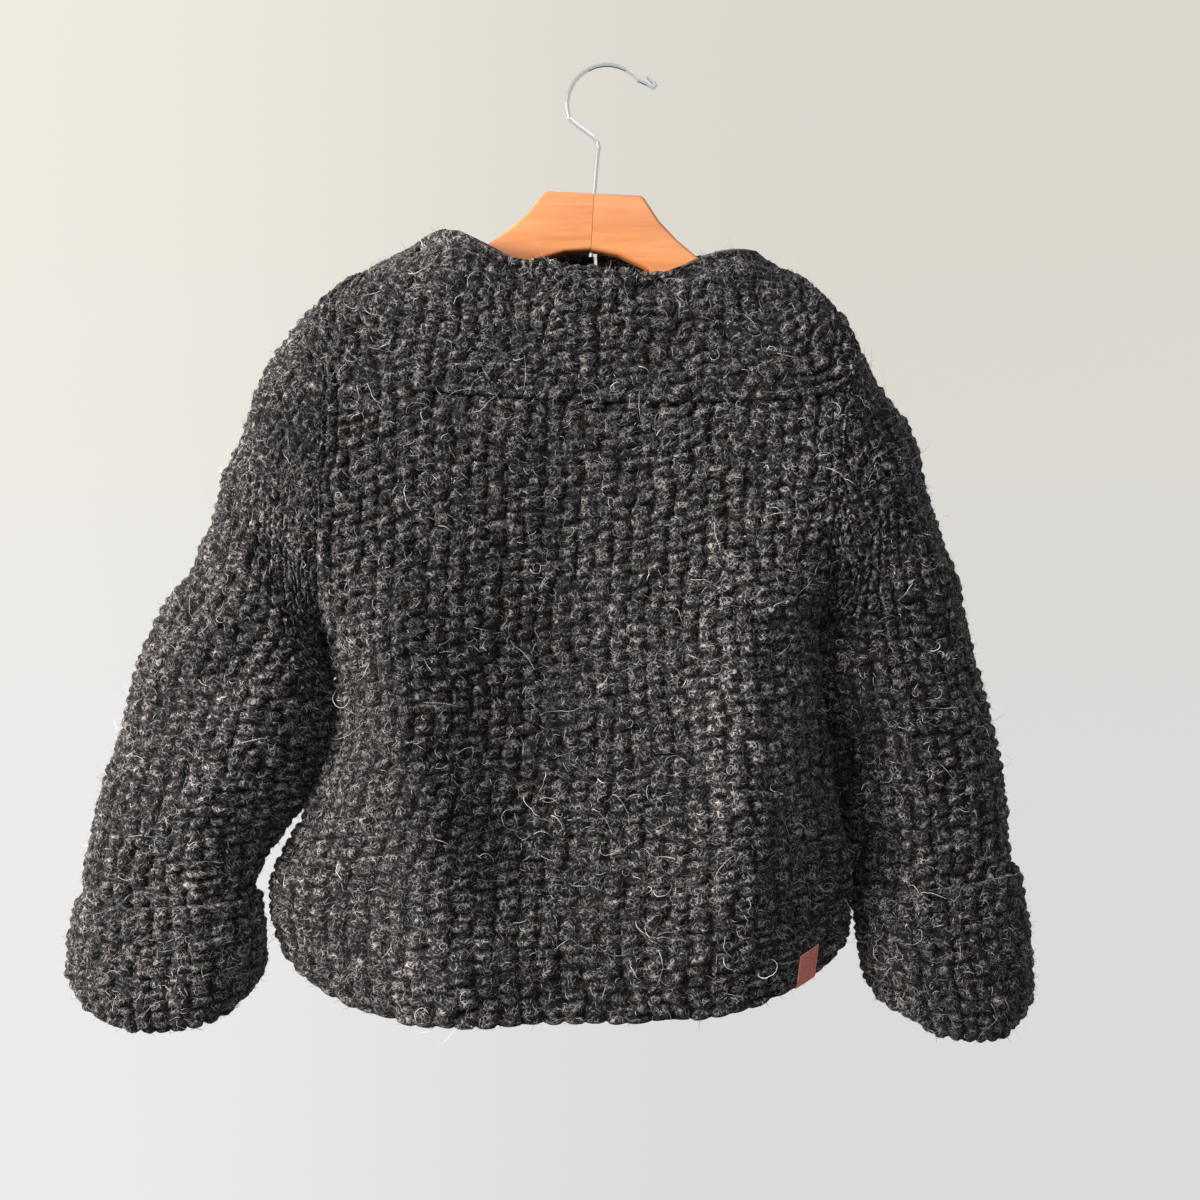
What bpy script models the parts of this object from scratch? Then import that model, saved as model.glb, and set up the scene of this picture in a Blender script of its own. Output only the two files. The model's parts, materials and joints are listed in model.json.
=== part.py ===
"""Chunky knit jacket hanging on a wooden hanger.

Metres, +Z up. The jacket's back faces -Y, its open front faces +Y, and the origin is the inner crown of the
hanger's hook, which hangs on a rail. Tables below are in millimetres.
"""
import math

import bmesh
import bpy
import numpy as np
from mathutils import Matrix, Vector
from mathutils.bvhtree import BVHTree

MM = 0.001
WALL = 6.0  # thickness of the knit cloth
SEAM = 0.36  # gap between two sewn pieces
SECTION_POWER = 2.3  # 2 is an ellipse, more is a fuller oval
FRONT_GAP = 3.0  # between the two fronts
FRONT_TOP_X, FRONT_HEM_X = -9.0, -22.0  # where the fronts meet

# The torso's outline, from the hem up to the shoulder tips. Depths are to the outer face at mid width.
TORSO_COLUMNS = "left_x left_z right_x right_z back front"
TORSO = [
    (-249, -674, 186, -664, 60, 42),
    (-257, -645, 187, -640, 62, 44),
    (-255, -615, 185.5, -610, 62, 45),
    (-231, -570, 175, -560, 62, 45),
    (-210, -520, 168, -505, 60, 44),
    (-208, -475, 162, -460, 58, 43),
    (-213, -440, 160, -425, 56, 42),
    (-212, -370, 168, -358, 53, 39),
    (-210, -290, 175, -285, 49, 36),
    (-208, -225, 181, -240, 42, 32),
    (-207, -180, 184, -205, 42, 32),
]
ARMPIT, FULL_DEPTH, ROLL, TIP = 6, 8, 9, 10  # stations of the table above
HEM_DROP = 47  # the hem's middle hangs lower than its sides

# Shoulder ridge, which lies on the hanger's arms, and the neck that is cut into it.
RIDGE_COLUMNS = "x z"
RIDGE = [(-260, -201.5), (-128, -145.1), (-94, -130.5), (69.7, -138.4), (112, -161.6), (230, -228.5)]
NECK_LEFT_X, NECK_RIGHT_X = -128, 112
NECK_MIDDLE_X, NECK_HALF = (NECK_LEFT_X + NECK_RIGHT_X) / 2, (NECK_RIGHT_X - NECK_LEFT_X) / 2
NECK_Z = {"back": -196, "front": -205}
NECK_COLUMNS, SIDE_COLUMNS = 14, 5
NECK_TRIM, NECK_TRIM_WIDTH = 0.45, 9.0

# Folds of the cloth: the path's top and bottom ends, half width, and height (negative is a trough).
FOLD_COLUMNS = "side top_x top_z bottom_x bottom_z half_width height"
FOLDS = [
    ("back", -165, -400, -125, -720, 42, 6.0),
    ("back", -30, -300, -50, -700, 44, -9.0),
    ("back", 95, -330, 80, -720, 46, 6.0),
    ("front", -120, -330, -140, -700, 40, 5.0),
    ("front", 80, -330, 100, -700, 40, 5.0),
]

# The collar's outer edge, its fold line, and how far it stands off the shoulders. w runs round the neck,
# from -1 over the left shoulder to 1 over the right one.
COLLAR_COLUMNS = "w edge_x edge_z fold_z loft middle_loft"
COLLAR_SECTIONS, COLLAR_BUNCHING = 33, 1.5  # bunched toward the ridges
COLLAR_BACK = [
    (-1.0, -204, -179, -131, 7, 4),
    (-0.85, -221, -212, -137, 6, 3),
    (-0.65, -203, -237, -147, 3, 2),
    (-0.4, -155, -252, -155, 1, 1),
    (0.0, -10, -262, -161, 1, 1),
    (0.4, 100, -262, -166, 1, 1),
    (0.65, 170, -255, -158, 3, 3),
    (0.85, 186, -228, -149, 6, 7),
    (1.0, 175, -199, -145, 8, 9),
]
COLLAR_FRONT = [
    (-1.0, -204, -179, -131, 7, 4),
    (-0.85, -218, -212, -133, 6, 3),
    (-0.65, -200, -240, -133, 3, 2),
    (0.0, -10, -262, -134, 1, 1),
    (0.65, 166, -258, -140, 3, 3),
    (0.85, 184, -232, -144, 6, 7),
    (1.0, 175, -199, -145, 8, 9),
]
EDGE_LOFT, RIDGE_LOFT = -1.0, 2.4
FOLD_RADIUS_LEAST = 7.5
STAND_GAP = 0.7  # between the collar's stand and the neck's edge below it
LEAF_GAP = 1.5  # between the collar and the cloth that it lies on
LEAF_GAP_LEAST = 0.35
FALL_ROW = 8  # rows of the collar's grid before its fall
NECK_DIP = 3.5  # how late the neck's edge falls away from the ridge

# Sleeves, from the armhole to the fold of the cuff. Sag lowers the middle of a section against its ends.
SLEEVE_COLUMNS = "outer_x outer_z inner_x inner_z back front sag"
LEFT_SLEEVE = [
    (-207, -180, -213, -440, 50, 38, 0),
    (-223, -186, -215, -443, 49, 37, 0),
    (-240, -204, -215.5, -446, 48, 37, 0),
    (-264, -240, -215.5, -449, 46, 36, 0),
    (-282, -294, -215, -453, 44, 35, 0),
    (-302, -357, -213.5, -460, 43, 34, 0),
    (-340, -416, -210, -476, 43, 34, 0),
    (-367, -487, -211.6, -520, 44, 34, 0),
    (-386, -549, -231.5, -567, 42, 34, 0),
    (-399, -608, -261, -607, 38, 33, 0),
    (-400, -640, -272, -638, 36, 32, 2),
    (-402, -688, -273, -685, 36, 32, 10),
    (-394, -708, -281, -708, 34, 30, 20),
]
RIGHT_SLEEVE = [
    (184, -205, 160, -425, 50, 38, 0),
    (193, -219, 162, -428, 49, 37, 0),
    (206, -243, 163.4, -431, 48, 37, 0),
    (233, -281, 164, -435, 46, 36, 0),
    (243, -320, 164.3, -440, 44, 35, 0),
    (257, -362, 164.2, -448, 43, 34, 0),
    (271, -402, 164.6, -464, 43, 34, 0),
    (284, -460, 169, -500, 44, 34, 0),
    (295, -510, 174.1, -540, 42, 34, 0),
    (306, -562, 183, -588, 40, 33, 0),
    (310, -618, 195, -632, 36, 32, 2),
    (316, -694, 207, -694, 36, 32, 10),
    (312, -722, 216, -708, 34, 30, 20),
]
WRIST, CUFF_FOLD = 11, 12  # stations where the sleeve ends and where the cuff turns back

# The turned-back cuff's face, as station along the sleeve and distance out from the sleeve's face.
CUFF_COLUMNS = "station offset"
CUFF = [
    (11.018, -6.0),
    (11.6, -6.0),
    (11.95, -4.2),
    (12.12, 1.0),
    (11.95, 6.5),
    (11.6, 9.5),
    (11.1, 11.0),
    (10.6, 10.5),
    (10.15, 8.5),
    (9.95, 7.0),
]

# The hanger, about the middle of its top edge, before it is tilted. Only one arm's outline is given.
HANGER_AT = (-9.8, -98.4)
HANGER_TILT = math.radians(3)
HANGER_THICKNESS = 13
ARM_TOP = [(36, 0), (39, -2), (51, -18.5), (65, -32), (82, -45), (120, -64), (190, -98)]
ARM_BOTTOM = [(196, -110), (192, -119), (120, -92), (80, -76), (60, -67), (40, -54), (20, -46.5)]
ARCH_TOP_Z = -44
WOOD_EDGE = 3.0

# The hook's wire.
WIRE_RADIUS = 1.75
HOOK_CENTRE = (0.2, -29.1)
HOOK_RADIUS = 30.85
HOOK_ARC = (200, 38)  # degrees, from the wire's left side over the top
HOOK_SHAFT = [(-7.2, -68), (-6.2, -62), (-7.2, -57.8), (-10.6, -53.9), (-15.5, -50), (-22, -45.4)]
HOOK_TIP = [(31.5, -13.2), (35.6, -16.4), (37.6, -14.6), (36.2, -12.0), (31.4, -7.4)]
BORE_GAP = 0.35

# The leather tag that is folded over the hem.
TAG_X, TAG_WIDTH, TAG_RISE, TAG_THICKNESS, TAG_LEAN = 146, 14.0, 21.0, 1.4, -3.0


def column(table, names, wanted):
    """One named column of a table."""
    at = names.split().index(wanted)
    return np.array([row[at] for row in table], float)


def smooth(values, at):
    """A smooth curve through evenly spaced values, read at a station or an array of them."""
    v = np.asarray(values, float)
    s = np.clip(np.asarray(at, float), 0, len(v) - 1)
    i = np.minimum(s.astype(int), len(v) - 2)
    t = s - i
    slope = np.gradient(v)
    a, b, da, db = v[i], v[i + 1], slope[i], slope[i + 1]
    return (
        a * (2 * t**3 - 3 * t**2 + 1)
        + da * (t**3 - 2 * t**2 + t)
        + b * (3 * t**2 - 2 * t**3)
        + db * (t**3 - t**2)
    )


def oval(share):
    """Height of a full oval over its long axis, at a share -1 to 1 of the half width."""
    s = np.clip(np.abs(share), 0, 1)
    return (1 - s**SECTION_POWER) ** (1 / SECTION_POWER)


def fold_height(side, x, z):
    """How far the folds move a point outward."""
    height = np.zeros_like(x)
    for where, top_x, top_z, bottom_x, bottom_z, half_width, high in FOLDS:
        if where != side:
            continue
        along = np.clip((z - top_z) / (bottom_z - top_z), 0, 1)
        across = (x - top_x - (bottom_x - top_x) * along) / half_width
        height = height + high * np.exp(-(across**2)) * np.sin(np.pi / 2 * np.minimum(1, 2.2 * along))
    return height


def torso(side, u, s):
    """Outer face of the torso: u is -1 at the left seam and 1 at the right, s is a station of TORSO."""
    u, s = np.broadcast_arrays(np.asarray(u, float), np.asarray(s, float))
    quarter = math.pi / 2
    roll = np.clip(s - ROLL, 0, 1) * quarter
    arm = np.clip((s - ARMPIT) / (FULL_DEPTH - ARMPIT), 0, 1) * quarter
    at = np.where(s > ROLL, ROLL + np.sin(roll), s)
    span = FULL_DEPTH - ARMPIT
    at = np.where((s > ARMPIT) & (s < FULL_DEPTH), ARMPIT + span * (1 - np.cos(arm)), at)
    table = {name: smooth(column(TORSO, TORSO_COLUMNS, name), at) for name in TORSO_COLUMNS.split()}
    share = (u + 1) / 2
    x = table["left_x"] + (table["right_x"] - table["left_x"]) * share
    z = table["left_z"] + (table["right_z"] - table["left_z"]) * share

    tip_x = TORSO[TIP][0] + (TORSO[TIP][2] - TORSO[TIP][0]) * share
    tip_z = TORSO[TIP][1] + (TORSO[TIP][3] - TORSO[TIP][1]) * share
    ridge = np.interp(tip_x, column(RIDGE, RIDGE_COLUMNS, "x"), column(RIDGE, RIDGE_COLUMNS, "z"))
    neck = oval((tip_x - NECK_MIDDLE_X) / NECK_HALF)
    top_z = ridge + (NECK_Z[side] - ridge) * neck**NECK_DIP
    z = z + (top_z - tip_z) * np.clip((at - ARMPIT) / (TIP - ARMPIT), 0, 1) ** 1.5
    z = z - HEM_DROP * (1 - np.clip(np.abs(u), 0, 1) ** 4) * np.clip(1 - at / 3, 0, 1) ** 1.3

    ease = np.clip((s - ARMPIT + 1.5) / (FULL_DEPTH - ARMPIT + 1.5), 0, 1)
    ease = ease * ease * (3 - 2 * ease)
    at_arm = ease + (np.sin(arm) - ease) * np.clip(np.abs(u), 0, 1) ** 14
    across = at_arm + (1 - at_arm) * oval(u)
    rolled = np.cos(roll) + (1 - np.cos(roll)) * neck
    depth = (table[side] + fold_height(side, x, z)) * across * rolled
    y = -depth if side == "back" else depth
    return np.stack([x, y, z], -1)


def section_ring(count):
    """Angles round a tube, from its outer point by the back, and how far each is from outer to inner."""
    angle = np.arange(count) * 2 * math.pi / count
    across = (1 - np.sign(np.cos(angle)) * np.abs(np.cos(angle)) ** (2 / SECTION_POWER)) / 2
    return angle, across


def armhole_depth(table, across, side):
    """Depth of the armhole at a share of the way down from the shoulder tip to the armpit."""
    u = -1 if table is LEFT_SLEEVE else 1
    stations = np.linspace(ARMPIT, TIP, 200)
    edge = torso(side, np.full(200, u), stations)
    z = table[0][1] + (table[0][3] - table[0][1]) * across
    return np.interp(z, edge[:, 2], np.abs(edge[:, 1]))


def sleeve(table, angle, across, s):
    """Outer face of a sleeve at a station, round the section. It starts as the armhole."""
    row = {name: smooth(column(table, SLEEVE_COLUMNS, name), s) for name in SLEEVE_COLUMNS.split()}
    x = row["outer_x"] + (row["inner_x"] - row["outer_x"]) * across
    z = row["outer_z"] + (row["inner_z"] - row["outer_z"]) * across
    height = oval(2 * across - 1)
    z = z - row["sag"] * height**2
    back = np.sin(angle) >= 0
    plain = np.where(back, row["back"], row["front"]) * height
    ring = np.where(back, armhole_depth(table, across, "back"), armhole_depth(table, across, "front"))
    own = np.clip(s / 3, 0, 1)
    depth = ring * (1 - own) + plain * own
    return np.stack([x, np.where(back, -depth, depth), z], -1)


def face_normals(grid, closed):
    """Normals of a grid of points: rows by columns, the columns closed round a tube or open."""
    if closed:
        across = np.roll(grid, -1, 1) - np.roll(grid, 1, 1)
    else:
        across = np.gradient(grid, axis=1)
    along = np.gradient(grid, axis=0)
    normal = np.cross(across, along)
    return normal / np.maximum(np.linalg.norm(normal, axis=-1, keepdims=True), 1e-9)


def cloth_wall(name, outer, inner, material, closed=False):
    """A closed wall between two grids of points in millimetres, as one object."""
    rows, columns = outer.shape[:2]
    work = bmesh.new()
    out = [[work.verts.new(Vector(p) * MM) for p in row] for row in outer.tolist()]
    into = [[work.verts.new(Vector(p) * MM) for p in row] for row in inner.tolist()]
    last = columns if closed else columns - 1
    for r in range(rows - 1):
        for c in range(last):
            d = (c + 1) % columns
            work.faces.new((out[r][c], out[r][d], out[r + 1][d], out[r + 1][c]))
            work.faces.new((into[r][c], into[r + 1][c], into[r + 1][d], into[r][d]))
    for c in range(last):
        d = (c + 1) % columns
        work.faces.new((out[0][d], out[0][c], into[0][c], into[0][d]))
        work.faces.new((out[-1][c], out[-1][d], into[-1][d], into[-1][c]))
    if not closed:
        for r in range(rows - 1):
            work.faces.new((out[r][0], out[r + 1][0], into[r + 1][0], into[r][0]))
            work.faces.new((out[r + 1][-1], out[r][-1], into[r][-1], into[r + 1][-1]))
    bmesh.ops.recalc_face_normals(work, faces=work.faces)
    mesh = bpy.data.meshes.new(name)
    work.to_mesh(mesh)
    work.free()
    mesh.shade_smooth()
    mesh.set_sharp_from_angle(angle=math.radians(50))
    return add_object(name, mesh, material)


def add_object(name, mesh, material):
    """Links a mesh to the garment's collection under its material."""
    item = bpy.data.objects.new(name, mesh)
    item.data.materials.append(material)
    garment.objects.link(item)
    return item


def material(name, colour, roughness, metallic=0.0):
    """A plain Principled material."""
    made = bpy.data.materials.new(name)
    made.use_nodes = True
    shader = made.node_tree.nodes["Principled BSDF"]
    shader.inputs["Base Color"].default_value = (*colour, 1)
    shader.inputs["Roughness"].default_value = roughness
    shader.inputs["Metallic"].default_value = metallic
    return made


def seam_line(side_of, z):
    """X of the armhole's seam at a height."""
    table = LEFT_SLEEVE if side_of == "left" else RIGHT_SLEEVE
    tip_x, tip_z, pit_x, pit_z = table[0][:4]
    return tip_x + (pit_x - tip_x) * (z - tip_z) / (pit_z - tip_z)


def share_at(x, station):
    """The share of the torso's width at which x lies, at a station."""
    left = smooth(column(TORSO, TORSO_COLUMNS, "left_x"), station)
    right = smooth(column(TORSO, TORSO_COLUMNS, "right_x"), station)
    return (2 * x - left - right) / (right - left)


def front_line(station):
    """X of the line where the fronts meet."""
    return FRONT_HEM_X + (FRONT_TOP_X - FRONT_HEM_X) * station / TIP


def neck_x(w):
    """X of the neck's edge at a place round the neck: w is -1 on the left ridge and 1 on the right one."""
    return NECK_MIDDLE_X + NECK_HALF * np.sin(np.asarray(w) * math.pi / 2)


def torso_shares():
    """Where a torso panel's columns stand: close at the side seams and at the neck's corners."""
    neck = share_at(neck_x(np.linspace(-1, 1, NECK_COLUMNS + 1)), TIP)
    side = np.linspace(0, 1, SIDE_COLUMNS + 1)[:-1] ** 1.8
    outside = share_at(np.array([NECK_LEFT_X - NECK_TRIM_WIDTH, NECK_RIGHT_X + NECK_TRIM_WIDTH]), TIP)
    left = -1 + (outside[0] + 1) * side
    right = 1 - (1 - outside[1]) * side
    return np.concatenate([left, outside[:1], neck, outside[1:], right[::-1]])


def neck_trim(u):
    """How far below the neck's line a panel is cut, in stations, so that the collar's stand has room."""
    x = torso("back", u, TIP)[..., 0]
    inside = np.minimum(x - NECK_LEFT_X, NECK_RIGHT_X - x) / NECK_TRIM_WIDTH + 1
    return NECK_TRIM * np.clip(inside, 0, 1)


def panel(name, side, stations, meets=0):
    """One torso panel, cut to its seams. A front ends at the line where the fronts meet."""
    s = np.array(stations, float)
    spread = torso_shares()
    u = np.repeat(spread[None, :], len(s), 0)
    if meets:
        kept = meets * spread > 0.09
        u = u[:, kept]
        edge = share_at(front_line(s) + meets * FRONT_GAP / 2, s)[:, None]
        u = np.hstack([u, edge]) if meets < 0 else np.hstack([edge, u])
    u_from, u_to = u[0, 0], u[0, -1]
    trim = neck_trim(u[-1])
    lowered = s[:, None] - trim * np.clip((s[:, None] - ROLL) / (TIP - ROLL), 0, 1)
    grid = torso(side, u, lowered)
    normal = face_normals(grid, False) * (1 if side == "back" else -1)
    at_side = [0] if u_from == -1 else []
    at_side += [-1] if u_to == 1 else []
    half_seam = SEAM / 2 * (-1 if side == "back" else 1)
    for edge in at_side:
        normal[s <= ARMPIT, edge, 1] = 0
        normal[s > ARMPIT, edge, 0] = 0
    on_ridge = np.abs(grid[-1, :, 1]) < 1
    normal[-1, on_ridge, 1] = 0
    normal /= np.linalg.norm(normal, axis=-1, keepdims=True)
    inner = grid - normal * WALL
    for edge in at_side:
        way = 1 if edge == 0 else -1
        for points in (grid, inner):
            above = s > ARMPIT
            line = seam_line("left" if edge == 0 else "right", points[above, edge, 2])
            points[above, edge, 0] = line + way * SEAM / 2
            points[s <= ARMPIT, edge, 1] = half_seam
    least = SEAM / 2
    for points in (grid, inner):
        flat = points[..., 1] if side == "front" else -points[..., 1]
        flat[:] = np.maximum(flat, least)
        points[..., 1] = flat if side == "front" else -flat
    return cloth_wall(name, grid, inner, wool)


def sleeve_pieces(name, table, count):
    """A sleeve and its turned-back cuff."""
    angle, across = section_ring(count)
    way = 1 if table is RIGHT_SLEEVE else -1

    def face(station):
        return sleeve(table, angle, across, station)

    def outward(station, step=0.02):
        around = face(station)
        along = face(station + step) - face(station - step)
        turn = np.roll(around, -1, 0) - np.roll(around, 1, 0)
        normal = np.cross(turn, along)
        normal /= np.linalg.norm(normal, axis=-1, keepdims=True)
        middle = around.mean(0)
        sign = np.sign(np.sum(normal * (around - middle)))
        return normal * sign

    grid = np.stack([face(s) for s in SLEEVE_STATIONS])
    normal = np.stack([outward(max(s, 0.02)) for s in SLEEVE_STATIONS])
    normal[0, :, 0] = 0
    normal[0] /= np.linalg.norm(normal[0], axis=-1, keepdims=True)
    inner = grid - normal * WALL
    side_of = "left" if way < 0 else "right"
    for points in (grid, inner):
        points[0, :, 0] = seam_line(side_of, points[0, :, 2]) + way * SEAM / 2
    made = cloth_wall(name + "_sleeve", grid, inner, wool, closed=True)

    path = np.stack([face(min(s, CUFF_FOLD)) for s, _ in CUFF])
    normal = np.stack([outward(min(s, CUFF_FOLD - 0.02)) for s, _ in CUFF])
    past = np.array([max(0, s - CUFF_FOLD) for s, _ in CUFF]) * 22
    offset = np.array([o for _, o in CUFF])
    grid = path + normal * offset[:, None, None]
    grid[..., 2] -= past[:, None]
    sheet = face_normals(grid, True)
    middle = grid[6].mean(0)
    if np.sum(sheet[6] * (grid[6] - middle)) < 0:
        sheet = -sheet
    inner = grid - sheet * WALL
    cloth_wall(name + "_cuff", grid, inner, wool, closed=True)
    return made


def neck_edge(side, w):
    """A point of the neck's edge and its share of the torso's width."""
    u = float(share_at(neck_x(w), TIP))
    return u, torso(side, u, TIP)


def torso_normal(side, u, s, on_ridge):
    """Outward normals of the torso's face at some of its points."""
    step = 0.01
    s = np.minimum(s, TIP - step)
    along_u = torso(side, u + step, s) - torso(side, u - step, s)
    along_s = torso(side, u, s) - torso(side, u, s - step)
    normal = np.cross(along_u, along_s) * (1 if side == "back" else -1)
    if on_ridge:
        normal[:, 1] = 0
    return normal / np.linalg.norm(normal, axis=-1, keepdims=True)


def collar_section(side, w, steps):
    """Face of the collar at one place round the neck: up the stand, over the fold and down the fall."""
    table = COLLAR_BACK if side == "back" else COLLAR_FRONT
    ws = column(table, COLLAR_COLUMNS, "w")
    at = np.interp(w, ws, np.arange(len(ws)))
    edge_x, edge_z, fold_z, loft, middle_loft = (
        smooth(column(table, COLLAR_COLUMNS, name), at) for name in COLLAR_COLUMNS.split()[1:]
    )
    u_neck, neck = neck_edge(side, w)
    u_edge = float(share_at(edge_x, TIP))
    on_ridge = abs(w) == 1
    s_edge = TIP
    if not on_ridge:
        stations = np.linspace(ARMPIT, TIP, 300)
        s_edge = np.interp(edge_z, torso(side, np.full(300, u_edge), stations)[:, 2], stations)
    share = np.linspace(0, 1, steps)
    u = u_neck + (u_edge - u_neck) * share
    s = TIP + (s_edge - TIP) * share
    normal = torso_normal(side, u, s, on_ridge)
    edge_loft = EDGE_LOFT + RIDGE_LOFT * w**4
    off = np.interp(share, [0, 0.45, 1], [loft, middle_loft, edge_loft]) + LEAF_GAP + WALL
    fall = torso(side, u, s) + normal * off[:, None]

    way = 1 if side == "back" else -1
    inward = np.array([-math.copysign(1.0, w), 0, 0])
    if not on_ridge:
        tangent = neck_edge(side, w + 0.01)[1] - neck_edge(side, w - 0.01)[1]
        inward = np.array([-tangent[1], tangent[0], 0]) * way
        inward /= np.linalg.norm(inward)
    foot = neck + inward * (WALL * max(0, -normal[0] @ inward) + LEAF_GAP + WALL)
    across = (foot - fall[0]) @ inward
    radius = max(across / 2, FOLD_RADIUS_LEAST)
    top = np.array([foot[0], foot[1], fold_z - radius])
    bottom = np.array([foot[0], foot[1], neck[2] + STAND_GAP])
    up = np.array([0, 0, 1.0])
    rise = [top + radius * (-inward * (1 - math.cos(a)) + up * math.sin(a)) for a in np.radians((30, 60, 90))]
    crown, target = rise[-1], fall[0]
    reach = np.linalg.norm(target - crown)
    leave, arrive = -inward * reach, (fall[1] - fall[0]) / np.linalg.norm(fall[1] - fall[0]) * reach
    over = []
    for t in (0.33, 0.66):
        over.append(
            crown * (2 * t**3 - 3 * t**2 + 1)
            + leave * (t**3 - 2 * t**2 + t)
            + target * (3 * t**2 - 2 * t**3)
            + arrive * (t**3 - t**2)
        )
    return np.array([bottom, (bottom + top) / 2, top] + rise + over + list(fall))


def collar_places():
    """Where the collar's sections lie: side and share round the neck, from one front edge to the other."""
    edges = [FRONT_TOP_X + way * FRONT_GAP / 2 for way in (-1, 1)]
    ends = [math.asin((x - NECK_MIDDLE_X) / NECK_HALF) * 2 / math.pi for x in edges]
    even = np.linspace(-1, 1, COLLAR_SECTIONS)
    bunched = np.sign(even) * (1 - (1 - np.abs(even)) ** COLLAR_BUNCHING)
    inside = bunched[1:-1]
    places = [("front", ends[0])] + [("front", w) for w in inside[inside < ends[0] - 0.04][::-1]]
    places += [("back", w) for w in bunched]
    places += [("front", w) for w in inside[inside > ends[1] + 0.04][::-1]] + [("front", ends[1])]
    return places


def push_clear(outer, inner, bodies):
    """Moves a wall's points out of the cloth that it lies on, by its corners and the middles of its faces."""
    trees = []
    for body in bodies:
        points = [v.co / MM for v in body.data.vertices]
        faces = [tuple(p.vertices) for p in body.data.polygons]
        outside = [face for face in faces if max(face) < len(points) // 2]
        trees.append(BVHTree.FromPolygons(points, outside))

    def needed(point):
        move = Vector((0, 0, 0))
        for tree in trees:
            near, normal, _, _ = tree.find_nearest(Vector(point) + move)
            apart = Vector(point) + move - near
            height = apart.dot(normal)
            beside = (apart - normal * height).length
            if height < LEAF_GAP_LEAST and beside < SEAM and -height < 2 * WALL:
                move += normal * (LEAF_GAP_LEAST - height)
        return np.array(move)

    rows, columns = outer.shape[:2]
    for _ in range(12):
        moves = np.zeros_like(outer)
        for r in range(FALL_ROW, rows):
            for c in range(columns):
                for grid in (outer, inner):
                    spots = [(grid[r, c], [(r, c)])]
                    if r + 1 < rows and c + 1 < columns:
                        corners = [(r, c), (r + 1, c), (r, c + 1), (r + 1, c + 1)]
                        spots.append((sum(grid[k] for k in corners) / 4, corners))
                        spots.append(((grid[r, c] + grid[r, c + 1]) / 2, corners[::2]))
                        spots.append(((grid[r, c] + grid[r + 1, c]) / 2, corners[:2]))
                    for spot, corners in spots:
                        move = needed(spot)
                        for k in corners:
                            if np.linalg.norm(move) > np.linalg.norm(moves[k]):
                                moves[k] = move
        if np.abs(moves).max() < 0.05:
            break
        outer += moves
        inner += moves


def build_collar(bodies):
    """The turned-down collar, in one folded sheet round the neck."""
    face = np.stack([collar_section(side, w, 6) for side, w in collar_places()], 1)
    normal = face_normals(face, False)
    middle = face.shape[1] // 2
    if normal[-1, middle, 1] > 0:
        normal = -normal
    inner = face - normal * WALL
    push_clear(face, inner, bodies)
    return cloth_wall("collar", face, inner, wool)


def hanger_point(x, z):
    """A point of the untilted hanger in the jacket's frame."""
    c, s = math.cos(HANGER_TILT), math.sin(HANGER_TILT)
    return (HANGER_AT[0] + x * c + z * s, HANGER_AT[1] - x * s + z * c)


def hanger_arm(name, way):
    """One arm: a flat outline, extruded and rounded."""
    joint = 0.15
    outline = [(joint, 0)] + ARM_TOP + ARM_BOTTOM + [(joint, ARCH_TOP_Z)]
    work = bmesh.new()
    half = HANGER_THICKNESS / 2
    ring = []
    for x, z in outline:
        px, pz = hanger_point(way * x, z)
        ring.append(work.verts.new(Vector((px, -half, pz)) * MM))
    base = work.faces.new(ring)
    moved = bmesh.ops.extrude_face_region(work, geom=[base])
    verts = [v for v in moved["geom"] if isinstance(v, bmesh.types.BMVert)]
    bmesh.ops.translate(work, verts=verts, vec=Vector((0, 2 * half, 0)) * MM)
    bmesh.ops.recalc_face_normals(work, faces=work.faces)
    mesh = bpy.data.meshes.new(name)
    work.to_mesh(mesh)
    work.free()
    arm = add_object(name, mesh, wood)
    rounding = arm.modifiers.new("rounded", "BEVEL")
    rounding.width = WOOD_EDGE * MM
    rounding.segments = 2
    rounding.limit_method = "ANGLE"
    rounding.angle_limit = math.radians(60)
    bore = arm.modifiers.new("bore", "BOOLEAN")
    bore.operation = "DIFFERENCE"
    bore.solver = "EXACT"
    bore.object = hook_bore
    return arm


def make_bore():
    """The hole for the hook's shaft, along the joint of the two arms."""
    low, high = hanger_point(0, -60), hanger_point(0, 20)
    start, end = Vector((low[0], 0, low[1])) * MM, Vector((high[0], 0, high[1])) * MM
    bpy.ops.mesh.primitive_cylinder_add(
        vertices=16, radius=(WIRE_RADIUS + BORE_GAP) * MM, depth=(end - start).length
    )
    bore = bpy.context.object
    bore.name = "hook_bore"
    bore.matrix_world = Matrix.Translation((start + end) / 2) @ (
        (end - start).to_track_quat("Z", "Y").to_matrix().to_4x4()
    )
    for group in list(bore.users_collection):
        group.objects.unlink(bore)
    cutters.objects.link(bore)
    bore.hide_render = True
    bore.display_type = "WIRE"
    return bore


def build_hook():
    """The bent wire, from below the wood to its folded tip."""
    low, high = hanger_point(0, ARCH_TOP_Z - 4), hanger_point(0, 2)
    turn = np.radians(np.linspace(*HOOK_ARC, 15))
    arc = [
        (HOOK_CENTRE[0] + HOOK_RADIUS * math.cos(t), HOOK_CENTRE[1] + HOOK_RADIUS * math.sin(t)) for t in turn
    ]
    points = [low, high] + HOOK_SHAFT + arc + HOOK_TIP
    data = bpy.data.curves.new("hook_wire", "CURVE")
    data.dimensions = "3D"
    data.bevel_depth = WIRE_RADIUS * MM
    data.bevel_resolution = 2
    data.use_fill_caps = True
    line = data.splines.new("POLY")
    line.points.add(len(points) - 1)
    for point, (x, z) in zip(line.points, points):
        point.co = (x * MM, 0, z * MM, 1)
    return add_object("hook_wire", data, chrome)


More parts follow.
